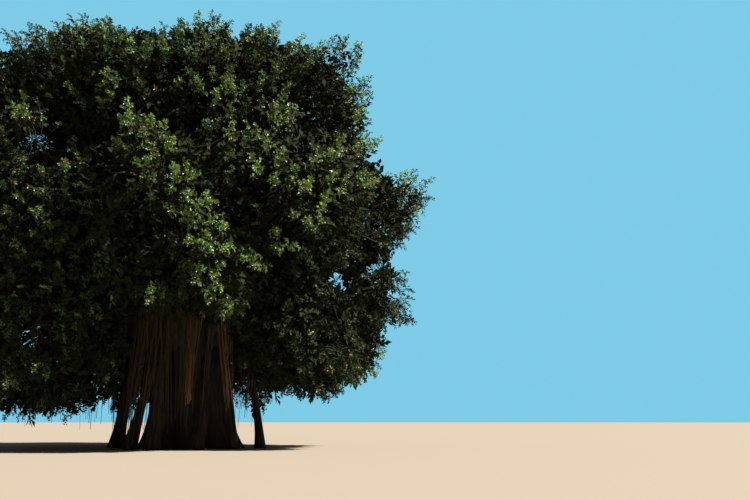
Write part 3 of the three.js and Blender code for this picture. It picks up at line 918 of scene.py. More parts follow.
class Graph:
    """A node tree under construction."""

    def __init__(self, tree: NodeTree) -> None:
        """Keeps the tree that nodes are added to."""
        self.tree = tree

    def node(self, kind: str, sockets: dict | None = None, settings: dict | None = None) -> Node:
        """Adds a node.

        Args:
            kind: the node's type.
            sockets: a value, a socket or a number of this tree for each input.
            settings: its options, which are set first.

        Returns:
            The node.
        """
        made = self.tree.nodes.new(kind)
        for name, value in (settings or {}).items():
            setattr(made, name, value)
        self.feed(made, sockets or {})
        return made

    def feed(self, node: Node, sockets: dict) -> None:
        """Sets or links a node's inputs."""
        for key, value in sockets.items():
            source = value.socket if isinstance(value, Number) else value
            if isinstance(source, NodeSocket):
                self.tree.links.new(source, node.inputs[key])
            else:
                node.inputs[key].default_value = source

    def result(
        self, kind: str, sockets: dict | None = None, settings: dict | None = None, output: int | str = 0
    ) -> NodeSocket:
        """Adds a node and gives one of its outputs, the first unless another is named."""
        return self.node(kind, sockets, settings).outputs[output]

    def attribute(self, name: str, kind: str) -> NodeSocket:
        """A named attribute of the points that a Geometry Nodes tree is given."""
        return self.result("GeometryNodeInputNamedAttribute", {"Name": name}, {"data_type": kind})

    def noise(self, where: NodeSocket, scale: float, detail: float, rough: float = 0.55) -> "Number":
        """Smooth noise at a scale, as a number from 0 to 1."""
        sockets = {"Vector": where, "Scale": scale, "Detail": detail, "Roughness": rough}
        return Number(self, self.result("ShaderNodeTexNoise", sockets, output="Fac"))

    def blend(self, share: object, low: object, high: object) -> NodeSocket:
        """A colour between two colours or colour sockets, by a share."""
        ends = [(*c, 1.0) if isinstance(c, tuple) else c for c in (low, high)]
        return self.result("ShaderNodeMix", {0: share, 6: ends[0], 7: ends[1]}, {"data_type": "RGBA"}, 2)


class Number:
    """A number socket of a node tree, on which arithmetic adds Math nodes."""

    def __init__(self, graph: Graph, socket: NodeSocket) -> None:
        """Wraps a socket of a graph."""
        self.graph = graph
        self.socket = socket

    def maths(self, operation: str, *values: object) -> "Number":
        """The result of a Math node on some values."""
        sockets = dict(enumerate(values))
        return Number(self.graph, self.graph.result("ShaderNodeMath", sockets, {"operation": operation}))

    def __add__(self, other: object) -> "Number":
        """This plus other."""
        return self.maths("ADD", self, other)

    def __rsub__(self, other: object) -> "Number":
        """Other minus this."""
        return self.maths("SUBTRACT", other, self)

    def __mul__(self, other: object) -> "Number":
        """This times other."""
        return self.maths("MULTIPLY", self, other)

    def ramp(self, low: float, high: float) -> "Number":
        """This stretched so that low becomes 0 and high becomes 1, and held between them."""
        sockets = {"Value": self, "From Min": low, "From Max": high}
        return Number(self.graph, self.graph.result("ShaderNodeMapRange", sockets, {"clamp": True}))


def new_material(name: str) -> tuple[Material, Graph, Node]:
    """A new material, its graph and its shader."""
    material = bpy.data.materials.new(name)
    material.use_nodes = True
    return material, Graph(material.node_tree), material.node_tree.nodes["Principled BSDF"]


@dataclass(frozen=True)
class BarkFinish:
    """Bark with furrows along the grain, pale plates, warts and a green film where it stays damp."""

    name: str
    pale: Colour
    dark: Colour
    film: Colour
    film_share: float
    furrow_scale: float
    relief: float
    # Warm colour of new bark at the hanging roots' tips, which also serves as painted sunlight on the lit
    # curtains.
    young: Colour = (0.40, 0.235, 0.115)

    def material(self) -> Material:
        """The bark as a material that reads the grain of its piece."""
        material, graph, shader = new_material(self.name)
        grain = graph.result("ShaderNodeAttribute", None, {"attribute_name": "grain"}, "Vector")
        drawn = graph.result("ShaderNodeMapping", {"Vector": grain, "Scale": (1.0, 1.0, 0.16)})
        furrows = graph.noise(drawn, self.furrow_scale, 5.0, 0.6)
        cords = graph.noise(drawn, self.furrow_scale * 0.3, 2.0)
        warts = graph.noise(grain, self.furrow_scale * 5.0, 3.0, 0.65)
        patches = graph.noise(grain, 0.7, 3.0)
        plates = furrows.ramp(0.36, 0.66)
        tone = (plates * 0.65 + warts * 0.25 + patches * 0.1).ramp(0.15, 0.85)
        damp = (patches * 0.7 + (1 - plates) * 0.3).ramp(0.45, 0.75) * self.film_share
        aged = graph.blend(damp, graph.blend(tone, self.dark, self.pale), self.film)
        # Blends in the warm colour by the roots' attribute: new bark, and painted sunlight on the lit
        # curtains.
        young = graph.result("ShaderNodeAttribute", None, {"attribute_name": "young"}, "Fac")
        height = plates * 0.6 + cords * 0.5 + warts * 0.15
        bump = {"Strength": 0.9, "Distance": self.relief, "Height": height}
        sockets = {
            "Base Color": graph.blend(young, aged, self.young),
            "Roughness": 0.95 - plates * 0.2,
            "Normal": graph.result("ShaderNodeBump", bump),
            "Specular IOR Level": 0.3,
        }
        graph.feed(shader, sockets)
        return material


@dataclass(frozen=True)
class LeafFinish:
    """A leathery leaf of one tone, with a fine puckered face."""

    name: str
    colour: Colour
    roughness: float = 0.40
    gloss: float = 0.32
    pucker: float = 0.012

    def material(self) -> Material:
        """The leaf as a material whose colour is plain, as tones are dealt out by spray."""
        material, graph, shader = new_material(self.name)
        veins = graph.noise(graph.result("ShaderNodeTexCoord", output="Object"), 26.0, 2.0)
        bump = {"Strength": 0.5, "Distance": self.pucker, "Height": veins}
        sockets = {
            "Base Color": (*self.colour, 1.0),
            "Roughness": self.roughness,
            "Specular IOR Level": self.gloss,
            "Normal": graph.result("ShaderNodeBump", bump),
        }
        graph.feed(shader, sockets)
        return material


class Tone(Enum):
    """The leaf tones that are dealt out by spray; the first four are one leaf in painted light and shade."""

    # Painted shade: the darkest copy of the leaf, for the hollows between humps and the quiet parts.
    DEEP = LeafFinish("leaf_deep", (0.015, 0.026, 0.009), 0.62, 0.10)
    MIDDLE = LeafFinish("leaf_middle", (0.052, 0.098, 0.022), 0.5, 0.18)
    GREEN = LeafFinish("leaf_green", (0.084, 0.152, 0.034))
    # Painted light: the lightest copy of the leaf, for hump tops and sprays that face up.
    FRESH = LeafFinish("leaf_fresh", (0.150, 0.242, 0.058))
    OLIVE = LeafFinish("leaf_olive", (0.125, 0.132, 0.050))
    # Painted shade: a near-black leaf for the sprays that stand for the crown's dark inside.
    SHADE = LeafFinish("leaf_shade", (0.015, 0.020, 0.009), 0.85, 0.03)


TONES = tuple(Tone)
SHADE_TONE = TONES.index(Tone.SHADE)
# The trunk and root bark colours are darkened far below real bark: painted shade of the hollow under the
# crown.
TRUNK_BARK_PAINTED_SHADE = BarkFinish(
    "trunk_bark", (0.029, 0.023, 0.017), (0.008, 0.006, 0.004), (0.030, 0.034, 0.018), 0.5, 5.0, 0.05
)
LIMB_BARK = BarkFinish(
    "limb_bark", (0.065, 0.052, 0.040), (0.015, 0.012, 0.008), (0.03, 0.036, 0.02), 0.35, 6.0, 0.03
)
# Painted shade: root bark darkened like the trunk's.
ROOT_BARK_PAINTED_SHADE = BarkFinish(
    "root_bark", (0.040, 0.029, 0.020), (0.008, 0.006, 0.004), (0.03, 0.030, 0.018), 0.25, 7.0, 0.03
)
TWIG_BARK = BarkFinish(
    "twig_bark", (0.050, 0.042, 0.030), (0.018, 0.014, 0.009), (0.03, 0.04, 0.02), 0.3, 9.0, 0.01
)


def place(name: str, mesh: Mesh, nodes: Sequence[str]) -> Object:
    """Puts a finished piece into the scene.

    Args:
        name: the piece's name.
        mesh: its mesh, in the row frame.
        nodes: the solids that it stands for.

    Returns:
        The piece.
    """
    piece = new_object(name, mesh)
    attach(piece, BODY)
    if nodes:
        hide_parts(*nodes)
    log.info("%s: %d faces", name, len(mesh.polygons))
    return piece


@dataclass(frozen=True)
class Trunk:
    """The trunk: a flared, fluted body made of roots that have grown together."""

    fork_height: float = 7.0
    crown_height: float = 8.3
    foot_radius: float = 2.9
    chest_radius: float = 2.15
    fork_radius: float = 1.95
    flare_height: float = 1.3
    flutes: int = 9
    flute_depth: float = 0.13
    flute_fade: float = 0.45
    flute_wander: float = 0.5
    ribs: int = 4
    rib_share: float = 0.5
    rib_phase: float = 1.1
    twist: float = 0.35
    lean: float = -0.26
    dome_edge: float = 0.12
    dome_rise: float = 0.1
    sides: int = 240
    rows: int = 130
    row_crowding: float = 1.25  # above 1, rows lie closer together at the foot
    cord_depth: float = 0.055
    coarse_cords: int = 13
    fine_cords: int = 31

    def radius(self, z: Array, angle: Array) -> Array:
        """The radius of the solid's own form at a height and an angle."""
        t = np.clip(z / self.fork_height, 0, 1)
        body = mix(self.chest_radius, self.fork_radius, t)
        flare = (self.foot_radius - self.chest_radius) * np.exp(-z / self.flare_height)
        depth = self.flute_depth * (1 - self.flute_fade * t)
        turned = angle + self.twist * t
        flutes = depth * np.cos(self.flutes * turned + self.flute_wander * np.sin(2 * turned))
        flutes = flutes + self.rib_share * depth * np.cos(self.ribs * turned + self.rib_phase)
        above = np.maximum(0, z - self.fork_height) / (self.crown_height - self.fork_height)
        dome = np.sqrt(np.maximum(self.dome_edge, 1 - above * above))
        return (body + flare) * (1 + flutes) * dome

    def cords(self, z: Array, angle: Array) -> Array:
        """The relief of the roots that have grown together: upright cords that wander and fork."""
        wander = 0.35 * np.sin(0.55 * z + 3 * angle) + 0.22 * np.sin(1.3 * z + 7 * angle + 1.0)
        coarse = np.abs(np.sin(self.coarse_cords * angle + 1.6 * wander + 0.25 * z))
        fine = np.abs(np.sin(self.fine_cords * angle - 2.4 * wander + 0.6 * np.sin(1.1 * z)))
        knots = np.sin(2.1 * z + 5 * angle) * np.sin(1.3 * z - 9 * angle)
        return self.cord_depth * (1.5 * (coarse - MEAN_SINE) + 0.7 * (fine - MEAN_SINE) + 0.35 * knots)

    def build(self) -> Object:
        """Builds and dresses the trunk."""
        row = np.linspace(0, 1, self.rows)[:, None]
        z = self.crown_height * row**self.row_crowding
        angle = turns(self.sides)[None, :]
        radius = self.radius(z, angle) + self.cords(z, angle)
        points = np.empty((self.rows, self.sides, 3))
        points[..., 0] = self.lean * row + radius * np.cos(angle)
        points[..., 1] = radius * np.sin(angle)
        points[..., 2] = z
        index = np.arange(self.rows * self.sides).reshape(self.rows, self.sides)
        below, above = index.size, index.size + 1
        foot = np.stack([np.roll(index[0], -1), index[0], np.full(self.sides, below)], axis=-1)
        head = np.stack([index[-1], np.roll(index[-1], -1), np.full(self.sides, above)], axis=-1)
        ends = np.array([[0.0, 0.0, 0.0], [self.lean, 0.0, self.crown_height + self.dome_rise]])
        points = np.vstack([points.reshape(-1, 3), ends])
        shell = Shell()
        shell.add(points, wall_quads(index), np.concatenate([foot, head]), points)
        return place("trunk_bark", shell.mesh("trunk_bark", TRUNK_BARK_PAINTED_SHADE.material()), ["trunk"])


@dataclass(frozen=True)
class Boughs:
    """The boughs, limbs and leaders with the relief of their bark, each running on into its mass."""

    sides: int = 22
    steps: int = 46
    stem_steps: int = 20
    ridge: float = 0.06
    stem_taper: float = 0.72
    turn_step: float = 1.9  # keeps the ridges of neighbouring limbs unlike

    def relief(self, lengths: Array, turn: float) -> Array:
        """A factor on the radius at each point and side: twisted ridges and swellings."""
        angle = turns(self.sides)[None, :]
        s = lengths[:, None]
        ridges = np.cos(5 * angle + 0.5 * s + turn) + 0.6 * np.cos(3 * angle - 0.8 * s + 2 * turn)
        swells = 0.5 * np.sin(1.7 * s + angle + turn) + 0.4 * np.sin(3.1 * s + 2 * angle - turn)
        return 1 + self.ridge * (ridges + swells)

    def add(self, shell: Shell, limb: Limb, turn: float) -> None:
        """Adds one limb and its stem inside the mass to a shell."""
        stem = limb.stem()
        share = np.linspace(0, 1, self.steps)
        inner = np.linspace(0, 1, self.stem_steps + 1)[1:]
        path = np.vstack([limb.route.at(share), stem.at(inner)])
        tapered = limb.kind.tip * (1 - self.stem_taper * inner)
        radii = np.concatenate([limb.kind.radius(share), tapered])
        lengths = np.concatenate([share * limb.route.length, limb.route.length + inner * stem.length])
        shell.add_tubes(path[None], radii[None], self.sides, self.relief(lengths, turn)[None])

    def build(self, name: str, limbs: Sequence[Limb]) -> Object:
        """Builds one kind of limb as one piece.

        Args:
            name: the piece's name.
            limbs: the limbs in it.

        Returns:
            The piece.
        """
        shell = Shell()
        for i, limb in enumerate(limbs):
            self.add(shell, limb, self.turn_step * i)
        mesh = shell.mesh(name, LIMB_BARK.material())
        return place(name, mesh, [limb.name for limb in limbs])


@dataclass(frozen=True)
class PropRootPlan:
    """Where a prop root stands and which bough it hangs from."""

    name: str
    foot: Pair
    bough: int
    along: float
    radius: float


PROP_ROOTS = (
    PropRootPlan("front_left", (-2.6, -4.3), 7, 0.44, 0.40),
    PropRootPlan("front_middle", (-1.15, -4.7), 7, 0.56, 0.47),
    PropRootPlan("front_right", (1.25, -4.2), 8, 0.3, 0.33),
    PropRootPlan("right", (3.0, -2.7), 8, 0.44, 0.34),
    PropRootPlan("right_far", (4.3, -0.7), 0, 0.5, 0.32),
    PropRootPlan("back", (1.5, 4.2), 2, 0.45, 0.43),
    PropRootPlan("left", (-4.3, -0.3), 5, 0.36, 0.46),
)


@dataclass(frozen=True)
class PropRoots:
    """Prop roots: bundles of roots that run down from a bough, twine together and spread at the ground."""

    strands: int = 7
    sides: int = 10
    steps: int = 46
    twist: float = 2.2
    bend_at: float = 0.45
    bend_height: float = 0.55
    slimness: float = 0.62
    flare: float = 0.55
    flare_fall: float = 6.0
    apart: float = 0.62
    middle_share: float = 0.55
    strand_share: Pair = (0.3, 0.44)

    def strand(self, k: int, bundle: Array, draw: np.random.Generator) -> tuple[Array, Array, Array]:
        """One of a bundle's strands; the one with number 0 runs down its middle.

        Args:
            k: its number.
            bundle: the bundle's radius at each step.
            draw: sets the strands apart.

        Returns:
            Its way off the bundle's middle line, its radius, and the relief at each step and side.
        """
        share = np.linspace(0, 1, self.steps)
        wander = 0.35 * np.sin(share * draw.uniform(5, 9) + draw.uniform(0, 6))
        twine = self.twist * share * draw.uniform(0.5, 1.2)
        angle = k * math.tau / (self.strands - 1) + twine + wander
        apart = (self.apart if k else 0.0) * bundle * (1 + 0.2 * np.sin(share * 9 + k))
        thick = bundle * (draw.uniform(*self.strand_share) if k else self.middle_share)
        relief = 1 + 0.1 * np.cos(3 * turns(self.sides)[None, :] + 14 * share[:, None] + k)
        return flat_ring(angle, apart), thick, relief

    def build(self, plan: PropRootPlan, boughs: Sequence[Limb], seed: int) -> Object:
        """Builds and dresses one prop root.

        Args:
            plan: where it stands.
            boughs: the main boughs.
            seed: starts the draws that set its strands apart.

        Returns:
            The piece.
        """
        draw = np.random.default_rng(seed)
        top = boughs[plan.bough].route.at(plan.along)
        foot = np.array([*plan.foot, 0.0])
        middle = mix(foot, top, self.bend_at)
        middle[2] = top[2] * self.bend_height
        share = np.linspace(0, 1, self.steps)
        spine = Route.bend(foot, middle, top).at(share)
        bundle = plan.radius * (self.slimness + self.flare * np.exp(-self.flare_fall * share))
        shell = Shell()
        for k in range(self.strands):
            offset, thick, relief = self.strand(k, bundle, draw)
            shell.add_tubes((spine + offset)[None], thick[None], self.sides, relief[None])
        for points in shell.points:
            points[:, 2] = np.maximum(points[:, 2], 0.0)
        name = f"prop_root_{plan.name}"
        mesh = shell.mesh(f"{name}_strands", ROOT_BARK_PAINTED_SHADE.material())
        return place(mesh.name, mesh, [name])


@dataclass(frozen=True)
class Curtain:
    """A group of thin roots that hang side by side."""

    centre: Pair
    spread: Pair
    top: Pair
    bottom: Pair
    count: int
    thickness: Pair
    gather: float = 0.0
    lean: Pair = (0.0, 0.0)
    # Share of the warm colour: new bark at the tips, and painted sunlight where it is high.
    young: float = 0.12


# The curtains with the highest share of the warm colour, the first most of all, take it as painted sunlight
# where the sun reaches them through gaps.
CURTAINS = (
    Curtain((0.9, -4.9), (0.4, 0.3), (8.6, 9.6), (2.4, 3.4), 34, (0.016, 0.05), 0.55, (0.35, 0.0), 1.0),
    Curtain((-1.9, -5.0), (0.8, 0.4), (8.4, 9.8), (0.0, 1.6), 32, (0.014, 0.04), 0.2, (0.9, 0.0), 0.2),
    Curtain((2.6, -4.6), (0.5, 0.4), (7.2, 8.4), (1.6, 3.4), 16, (0.016, 0.04), 0.3, (-0.5, 0.0), 0.6),
    Curtain((-3.3, -3.9), (1.2, 0.9), (8.0, 9.6), (0.6, 4.0), 30, (0.012, 0.032), 0.1),
    Curtain((-6.2, -3.6), (1.8, 1.6), (7.5, 9.2), (1.4, 5.0), 34, (0.012, 0.032), 0.1),
    Curtain((-9.2, -3.4), (1.6, 1.6), (7.0, 8.6), (1.2, 5.0), 24, (0.012, 0.030), 0.1),
    Curtain((3.9, -3.0), (1.0, 0.9), (7.0, 8.8), (1.2, 4.6), 30, (0.012, 0.036), 0.2, (0.5, 0.0)),
    Curtain((5.75, -1.5), (0.3, 0.3), (7.6, 8.4), (3.0, 4.2), 12, (0.014, 0.036), 0.4, (0.0, 0.0), 0.5),
    Curtain((-4.8, -4.8), (1.5, 0.5), (7.2, 8.6), (1.0, 4.0), 30, (0.014, 0.034), 0.1),
    Curtain((0.6, -5.4), (2.4, 0.6), (7.4, 9.0), (0.8, 5.0), 46, (0.014, 0.034), 0.1),
    Curtain((0.0, 0.0), (3.0, 3.0), (6.0, 7.6), (0.0, 3.0), 30, (0.012, 0.034), 0.05),
    Curtain((1.0, 5.0), (3.4, 2.0), (7.0, 9.0), (1.0, 5.0), 34, (0.012, 0.034), 0.1),
)


@dataclass(frozen=True)
class HangingRoots:
    """Aerial roots that hang from the boughs in curtains, swept along their routes by Geometry Nodes."""

    points: int = 14
    sides: int = 5
    seed: int = 71
    spread_share: float = 0.6
    furthest: float = 1.8
    stray: float = 0.12
    sway: float = 0.05
    taper: float = 0.55
    knots: float = 0.15
    grain_step: float = 0.37

    def routes(self) -> tuple[Array, Array, Array]:
        """Every root's points and its thickness at each.

        Returns:
            The points, one row for each root, the radii, and the share of the warm colour there, for new bark
            and painted sunlight.
        """
        draw = np.random.default_rng(self.seed)
        share = np.linspace(0, 1, self.points)
        paths, radii, youth_and_sunlight = [], [], []
        for curtain in CURTAINS:
            for _ in range(curtain.count):
                offset = np.clip(draw.normal(size=2), -self.furthest, self.furthest)
                offset = offset * np.array(curtain.spread) * self.spread_share
                head, foot = draw.uniform(*curtain.top), draw.uniform(*curtain.bottom)
                drift = draw.normal(size=2) * self.stray + np.array(curtain.lean)
                wave, phase = draw.uniform(2, 6), draw.uniform(0, math.tau)
                close = 1 - curtain.gather * share
                even = curtain.centre + np.outer(close, offset) - np.outer(share - 0.5, drift)
                x = even[:, 0] + self.sway * np.sin(wave * share + phase)
                y = even[:, 1] + self.sway * np.cos(wave * share * 1.3 + phase)
                paths.append(np.stack([x, y, mix(head, foot, share)], axis=-1))
                thick = draw.uniform(*curtain.thickness) * (1 - self.taper * share)
                radii.append(thick * (1 + self.knots * np.sin(9 * share + phase)))
                # The warm colour grows towards the tips: new bark there, with painted sunlight on the lit
                # curtains.
                youth_and_sunlight.append(curtain.young * draw.uniform(0.2, 1.0) * (0.6 + 0.4 * share**6))
        return np.array(paths), np.array(radii), np.array(youth_and_sunlight)

    def tree(self) -> GeometryNodeTree:
        """The node tree that sweeps a round section along each route."""
        tree, graph, given = new_tree("sweep_roots", {"Sides": "Int", "Bark": "Material"})
        thick = graph.attribute("thick", "FLOAT")
        curve = graph.result("GeometryNodeMeshToCurve", {"Mesh": given["Geometry"]})
        sized = graph.result("GeometryNodeSetCurveRadius", {"Curve": curve, "Radius": thick})
        circle = {"Resolution": given["Sides"], "Radius": 1.0}
        ring = graph.result("GeometryNodeCurvePrimitiveCircle", circle)
        sweep = {"Curve": sized, "Profile Curve": ring, "Fill Caps": True}
        swept = graph.node("GeometryNodeCurveToMesh", sweep)
        if "Scale" in swept.inputs:
            tree.links.new(thick, swept.inputs["Scale"])
        real = graph.result("GeometryNodeRealizeInstances", {"Geometry": swept.outputs[0]})
        dressed = graph.result("GeometryNodeSetMaterial", {"Geometry": real, "Material": given["Bark"]})
        graph.node("NodeGroupOutput", {"Geometry": dressed})
        return tree

    def build(self) -> Object:
        """Builds and dresses the hanging roots."""
        paths, radii, youth_and_sunlight = self.routes()
        count, points, _ = paths.shape
        lines = bpy.data.meshes.new("root_lines")
        index = np.arange(count * points).reshape(count, points)
        edges = np.stack([index[:, :-1], index[:, 1:]], axis=-1).reshape(-1, 2)
        lines.from_pydata(paths.reshape(-1, 3).tolist(), edges.tolist(), [])
        give(lines, "thick", "FLOAT", radii)
        give(lines, "young", "FLOAT", youth_and_sunlight)
        grain = paths.copy()
        grain[..., 0] += np.arange(count)[:, None] * self.grain_step
        give(lines, "grain", "FLOAT_VECTOR", grain)
        inputs = {"Sides": self.sides, "Bark": ROOT_BARK_PAINTED_SHADE.material()}
        mesh = grown("hanging_roots", lines, self.tree(), inputs)
        mesh.polygons.foreach_set("use_smooth", np.full(len(mesh.polygons), True))
        return place("hanging_roots", mesh, [])


def new_tree(name: str, inputs: dict[str, str]) -> tuple[GeometryNodeTree, Graph, NodeOutputs]:
    """A Geometry Nodes tree that changes the geometry it is given.

    Args:
        name: the tree's name.
        inputs: the name and kind of each further input.

    Returns:
        The tree, its graph and the sockets of what it is given.
    """
    tree = bpy.data.node_groups.new(name, "GeometryNodeTree")
    for label, kind in {"Geometry": "Geometry", **inputs}.items():
        tree.interface.new_socket(label, in_out="INPUT", socket_type=f"NodeSocket{kind}")
    tree.interface.new_socket("Geometry", in_out="OUTPUT", socket_type="NodeSocketGeometry")
    graph = Graph(tree)
    return tree, graph, graph.node("NodeGroupInput").outputs


def grown(name: str, base: Mesh, tree: GeometryNodeTree, inputs: dict) -> Mesh:
    """The plain mesh that a Geometry Nodes tree makes from a base mesh.

    Args:
        name: the new mesh's name.
        base: the mesh that the tree starts from.
        tree: the tree.
        inputs: a value for each of the tree's named inputs.

    Returns:
        The result, with no modifier left.
    """
    holder = new_object(f"{name}_holder", base)
    modifier = holder.modifiers.new("grow", "NODES")
    modifier.node_group = tree
    for item in tree.interface.items_tree:
        if item.in_out == "INPUT" and item.name in inputs:
            modifier[item.identifier] = inputs[item.name]
    evaluated = holder.evaluated_get(bpy.context.evaluated_depsgraph_get())
    mesh = bpy.data.meshes.new_from_object(evaluated)
    mesh.name = name
    holder.modifiers.clear()
    bpy.data.objects.remove(holder)
    return mesh


@dataclass(frozen=True)
class SprayShape:
    """One kind of spray: a stem with side twigs, and the leaves that stand round them."""

    side_twigs: int
    twig_leaves: int
    stem_leaves: int
    length: float
    droop: float
    leaf_length: float
    leaf_width: float
    fold: float
    twig_share: float = 0.46
    twig_width: float = 0.014

    def stem_point(self, share: float | Array) -> Array:
        """A point of the stem, in the spray's own axes."""
        share = np.asarray(share, dtype=float)
        return np.stack([self.length * share, 0 * share, -self.droop * share**2], axis=-1)

    def leaf(self, base: Array, axis: Array, face: Array, size: float) -> Array:
        """One leaf: a pointed blade of two faces that is folded along its midrib.

        Args:
            base: where it leaves the stem.
            axis: the way it points.
            face: the way its upper side looks.
            size: a factor on its length and width.

        Returns:
            Its four points, from the base round to the second side.
        """
        across = unit(np.cross(face, axis))
        normal = np.cross(axis, across)
        length, width = self.leaf_length * size, self.leaf_width * size / 2
        waist = base + axis * length * 0.42 + normal * self.fold * size
        return np.array([base, waist - across * width, base + axis * length, waist + across * width])

    def sliver(self, foot: Array, end: Array) -> Array:
        """A twig so thin that one face shows it: its three points."""
        side = unit(np.cross(end - foot, UP)) * self.twig_width / 2
        return np.array([foot - side, foot + side, end])

    def row(self, start: Array, end: Array, count: int, draw: np.random.Generator) -> list[Array]:
        """Leaves that stand round a straight twig, wider apart at its foot than at its end.

        Args:
            start: the first leaf's place.
            end: the last leaf's place.
            count: how many leaves.
            draw: sets the leaves apart.

        Returns:
            The four points of each leaf.
        """
        way = unit(end - start)
        level, over = square_pair(way)
        leaves = []
        for k in range(count):
            share = (k / max(1, count - 1)) ** 0.8
            turn = k * GOLDEN_TURN + draw.normal() * 0.3
            radial = level * math.cos(turn) + over * math.sin(turn)
            # Towards the twig's end the leaves point further ahead, less outward, and are smaller.
            ahead = 0.35 + share**2 + draw.normal() * 0.15
            axis = unit(way * ahead + radial * (1.05 - 0.45 * share) - UP * 0.15)
            face = unit(UP * 0.7 + radial * 0.6 + way * 0.3 + draw.normal(size=3) * 0.3)
            size = (1.1 - 0.25 * share) * draw.uniform(0.82, 1.18)
            leaves.append(self.leaf(mix(start, end, share), axis, face, size))
        return leaves

    def mesh(self, name: str, seed: int) -> Mesh:
        """The spray's side twigs and leaves as a mesh.

        Args:
            name: the mesh's name.
            seed: starts the draws that set its leaves apart.

        Returns:
            The mesh.
        """
        draw = np.random.default_rng(seed)
        first = 0.4 if self.side_twigs else 0.04
        leaves = self.row(self.stem_point(first), self.stem_point(1.0), self.stem_leaves, draw)
        twigs = []
        for k in range(self.side_twigs):
            share = 0.1 + 0.62 * k / (self.side_twigs - 1)
            turn = k * GOLDEN_TURN + draw.normal() * 0.2
            way = unit(np.array([1.0, 1.25 * math.cos(turn), 1.25 * math.sin(turn)]))
            foot = self.stem_point(share)
            end = foot + way * self.length * self.twig_share * (1.15 - 0.45 * share)
            leaves += self.row(mix(foot, end, 0.25), end, self.twig_leaves, draw)
            twigs.append(self.sliver(foot, end))
        twigs.append(self.sliver(self.stem_point(0.0), self.stem_point(1.0)))
        corners = np.arange(len(leaves))[:, None] * 4 + np.array([[0, 1, 2, 0, 2, 3]])
        slivers = np.arange(3 * len(twigs)) + 4 * len(leaves)
        faces = np.concatenate([corners.reshape(-1, 3), slivers.reshape(-1, 3)])
        return mesh_of(name, np.vstack([*leaves, *twigs]), NO_QUADS, faces, False)


TUFT = SprayShape(3, 3, 6, 0.36, 0.03, 0.132, 0.084, 0.014, 0.45)
SHADE_SPRAY = SprayShape(0, 0, 9, 0.8, 0.12, 0.34, 0.21, 0.035)


@dataclass(frozen=True)
class SprayKit:
    """The sprays that the crown is made of: a few patterns of each kind."""

    tufts: int = 6
    shades: int = 2
    seed: int = 5

    def collection(self) -> Collection:
        """The patterns, tufts first, as a collection that isn't part of the scene."""
        held = bpy.data.collections.new("spray_patterns")
        for index in range(self.tufts + self.shades):
            shape = TUFT if index < self.tufts else SHADE_SPRAY
            mesh = shape.mesh(f"spray_pattern_{index}", self.seed + index)
            held.objects.link(bpy.data.objects.new(mesh.name, mesh))
        return held

    def tree(self) -> GeometryNodeTree:
        """The node tree that sets a spray on each point, turned, sized and toned by its attributes."""
        tree, graph, given = new_tree("set_sprays", {"Sprays": "Collection", "Size": "Float"})
        sprays = {"Collection": given["Sprays"], "Separate Children": True, "Reset Children": True}
        sockets = {
            "Points": given["Geometry"],
            "Instance": graph.result("GeometryNodeCollectionInfo", sprays),
            "Pick Instance": True,
            "Instance Index": graph.attribute("pattern", "INT"),
            "Rotation": graph.attribute("turn", "QUATERNION"),
            "Scale": Number(graph, graph.attribute("size", "FLOAT")) * given["Size"],
        }
        placed = graph.result("GeometryNodeInstanceOnPoints", sockets)
        shape = graph.result("GeometryNodeRealizeInstances", {"Geometry": placed})
        tone = graph.attribute("tone", "INT")
        for index, kind in enumerate(TONES):
            settings = {"data_type": "INT", "operation": "EQUAL"}
            chosen = graph.result("FunctionNodeCompare", {2: tone, 3: index}, settings)
            material = bpy.data.materials[kind.value.name]
            dressing = {"Geometry": shape, "Selection": chosen, "Material": material}
            shape = graph.result("GeometryNodeSetMaterial", dressing)
        graph.node("NodeGroupOutput", {"Geometry": shape})
        return tree


def spray_length(tone: Array) -> Array:
    """How long a spray of each tone is at size 1."""
    return np.where(tone == SHADE_TONE, SHADE_SPRAY.length, TUFT.length)


@dataclass
class Sprays:
    """Where sprays grow: base, heading and roll of each, with its size and tone."""

    base: Array
    heading: Array
    roll: Array
    size: Array
    tone: Array

    @staticmethod
    def join(parts: Sequence["Sprays"]) -> "Sprays":
        """Several groups as one."""
        return Sprays(*map(np.concatenate, zip(*(vars(part).values() for part in parts))))

    def outside(self, gaps: Sequence[SkyGap]) -> "Sprays":
        """The sprays that keep clear of every gap."""
        length = spray_length(self.tone) * self.size
        clear = np.ones(len(self.size), dtype=bool)
        for share in (0.0, 0.5, 1.0):
            points = self.base + self.heading * (length * share)[:, None]
            clear &= ~held_by_any(points, gaps)
        return Sprays(*(values[clear] for values in vars(self).values()))

    def axes(self) -> Array:
        """Each spray's own axes as the columns of a matrix."""
        level, over = square_pair(self.heading)
        side = spokes(level, over, self.roll)
        return np.stack([self.heading, side, np.cross(self.heading, side)], axis=-1)


def quaternions(axes: Array) -> Array:
    """Rotation matrices as quaternions, with w first.

    Args:
        axes: matrices whose columns are right-handed axes.

    Returns:
        One quaternion for each.
    """
    diagonal = np.diagonal(axes, axis1=1, axis2=2)
    signs = np.array([[1, 1, 1], [1, -1, -1], [-1, 1, -1], [-1, -1, 1]])
    turned = np.sqrt(np.maximum(0, 1 + diagonal @ signs.T)) / 2
    for k in range(3):
        after, before = (k + 1) % 3, (k + 2) % 3
        skew = axes[:, before, after] - axes[:, after, before]
        turned[:, k + 1] = np.copysign(turned[:, k + 1], skew)
    return unit(turned)


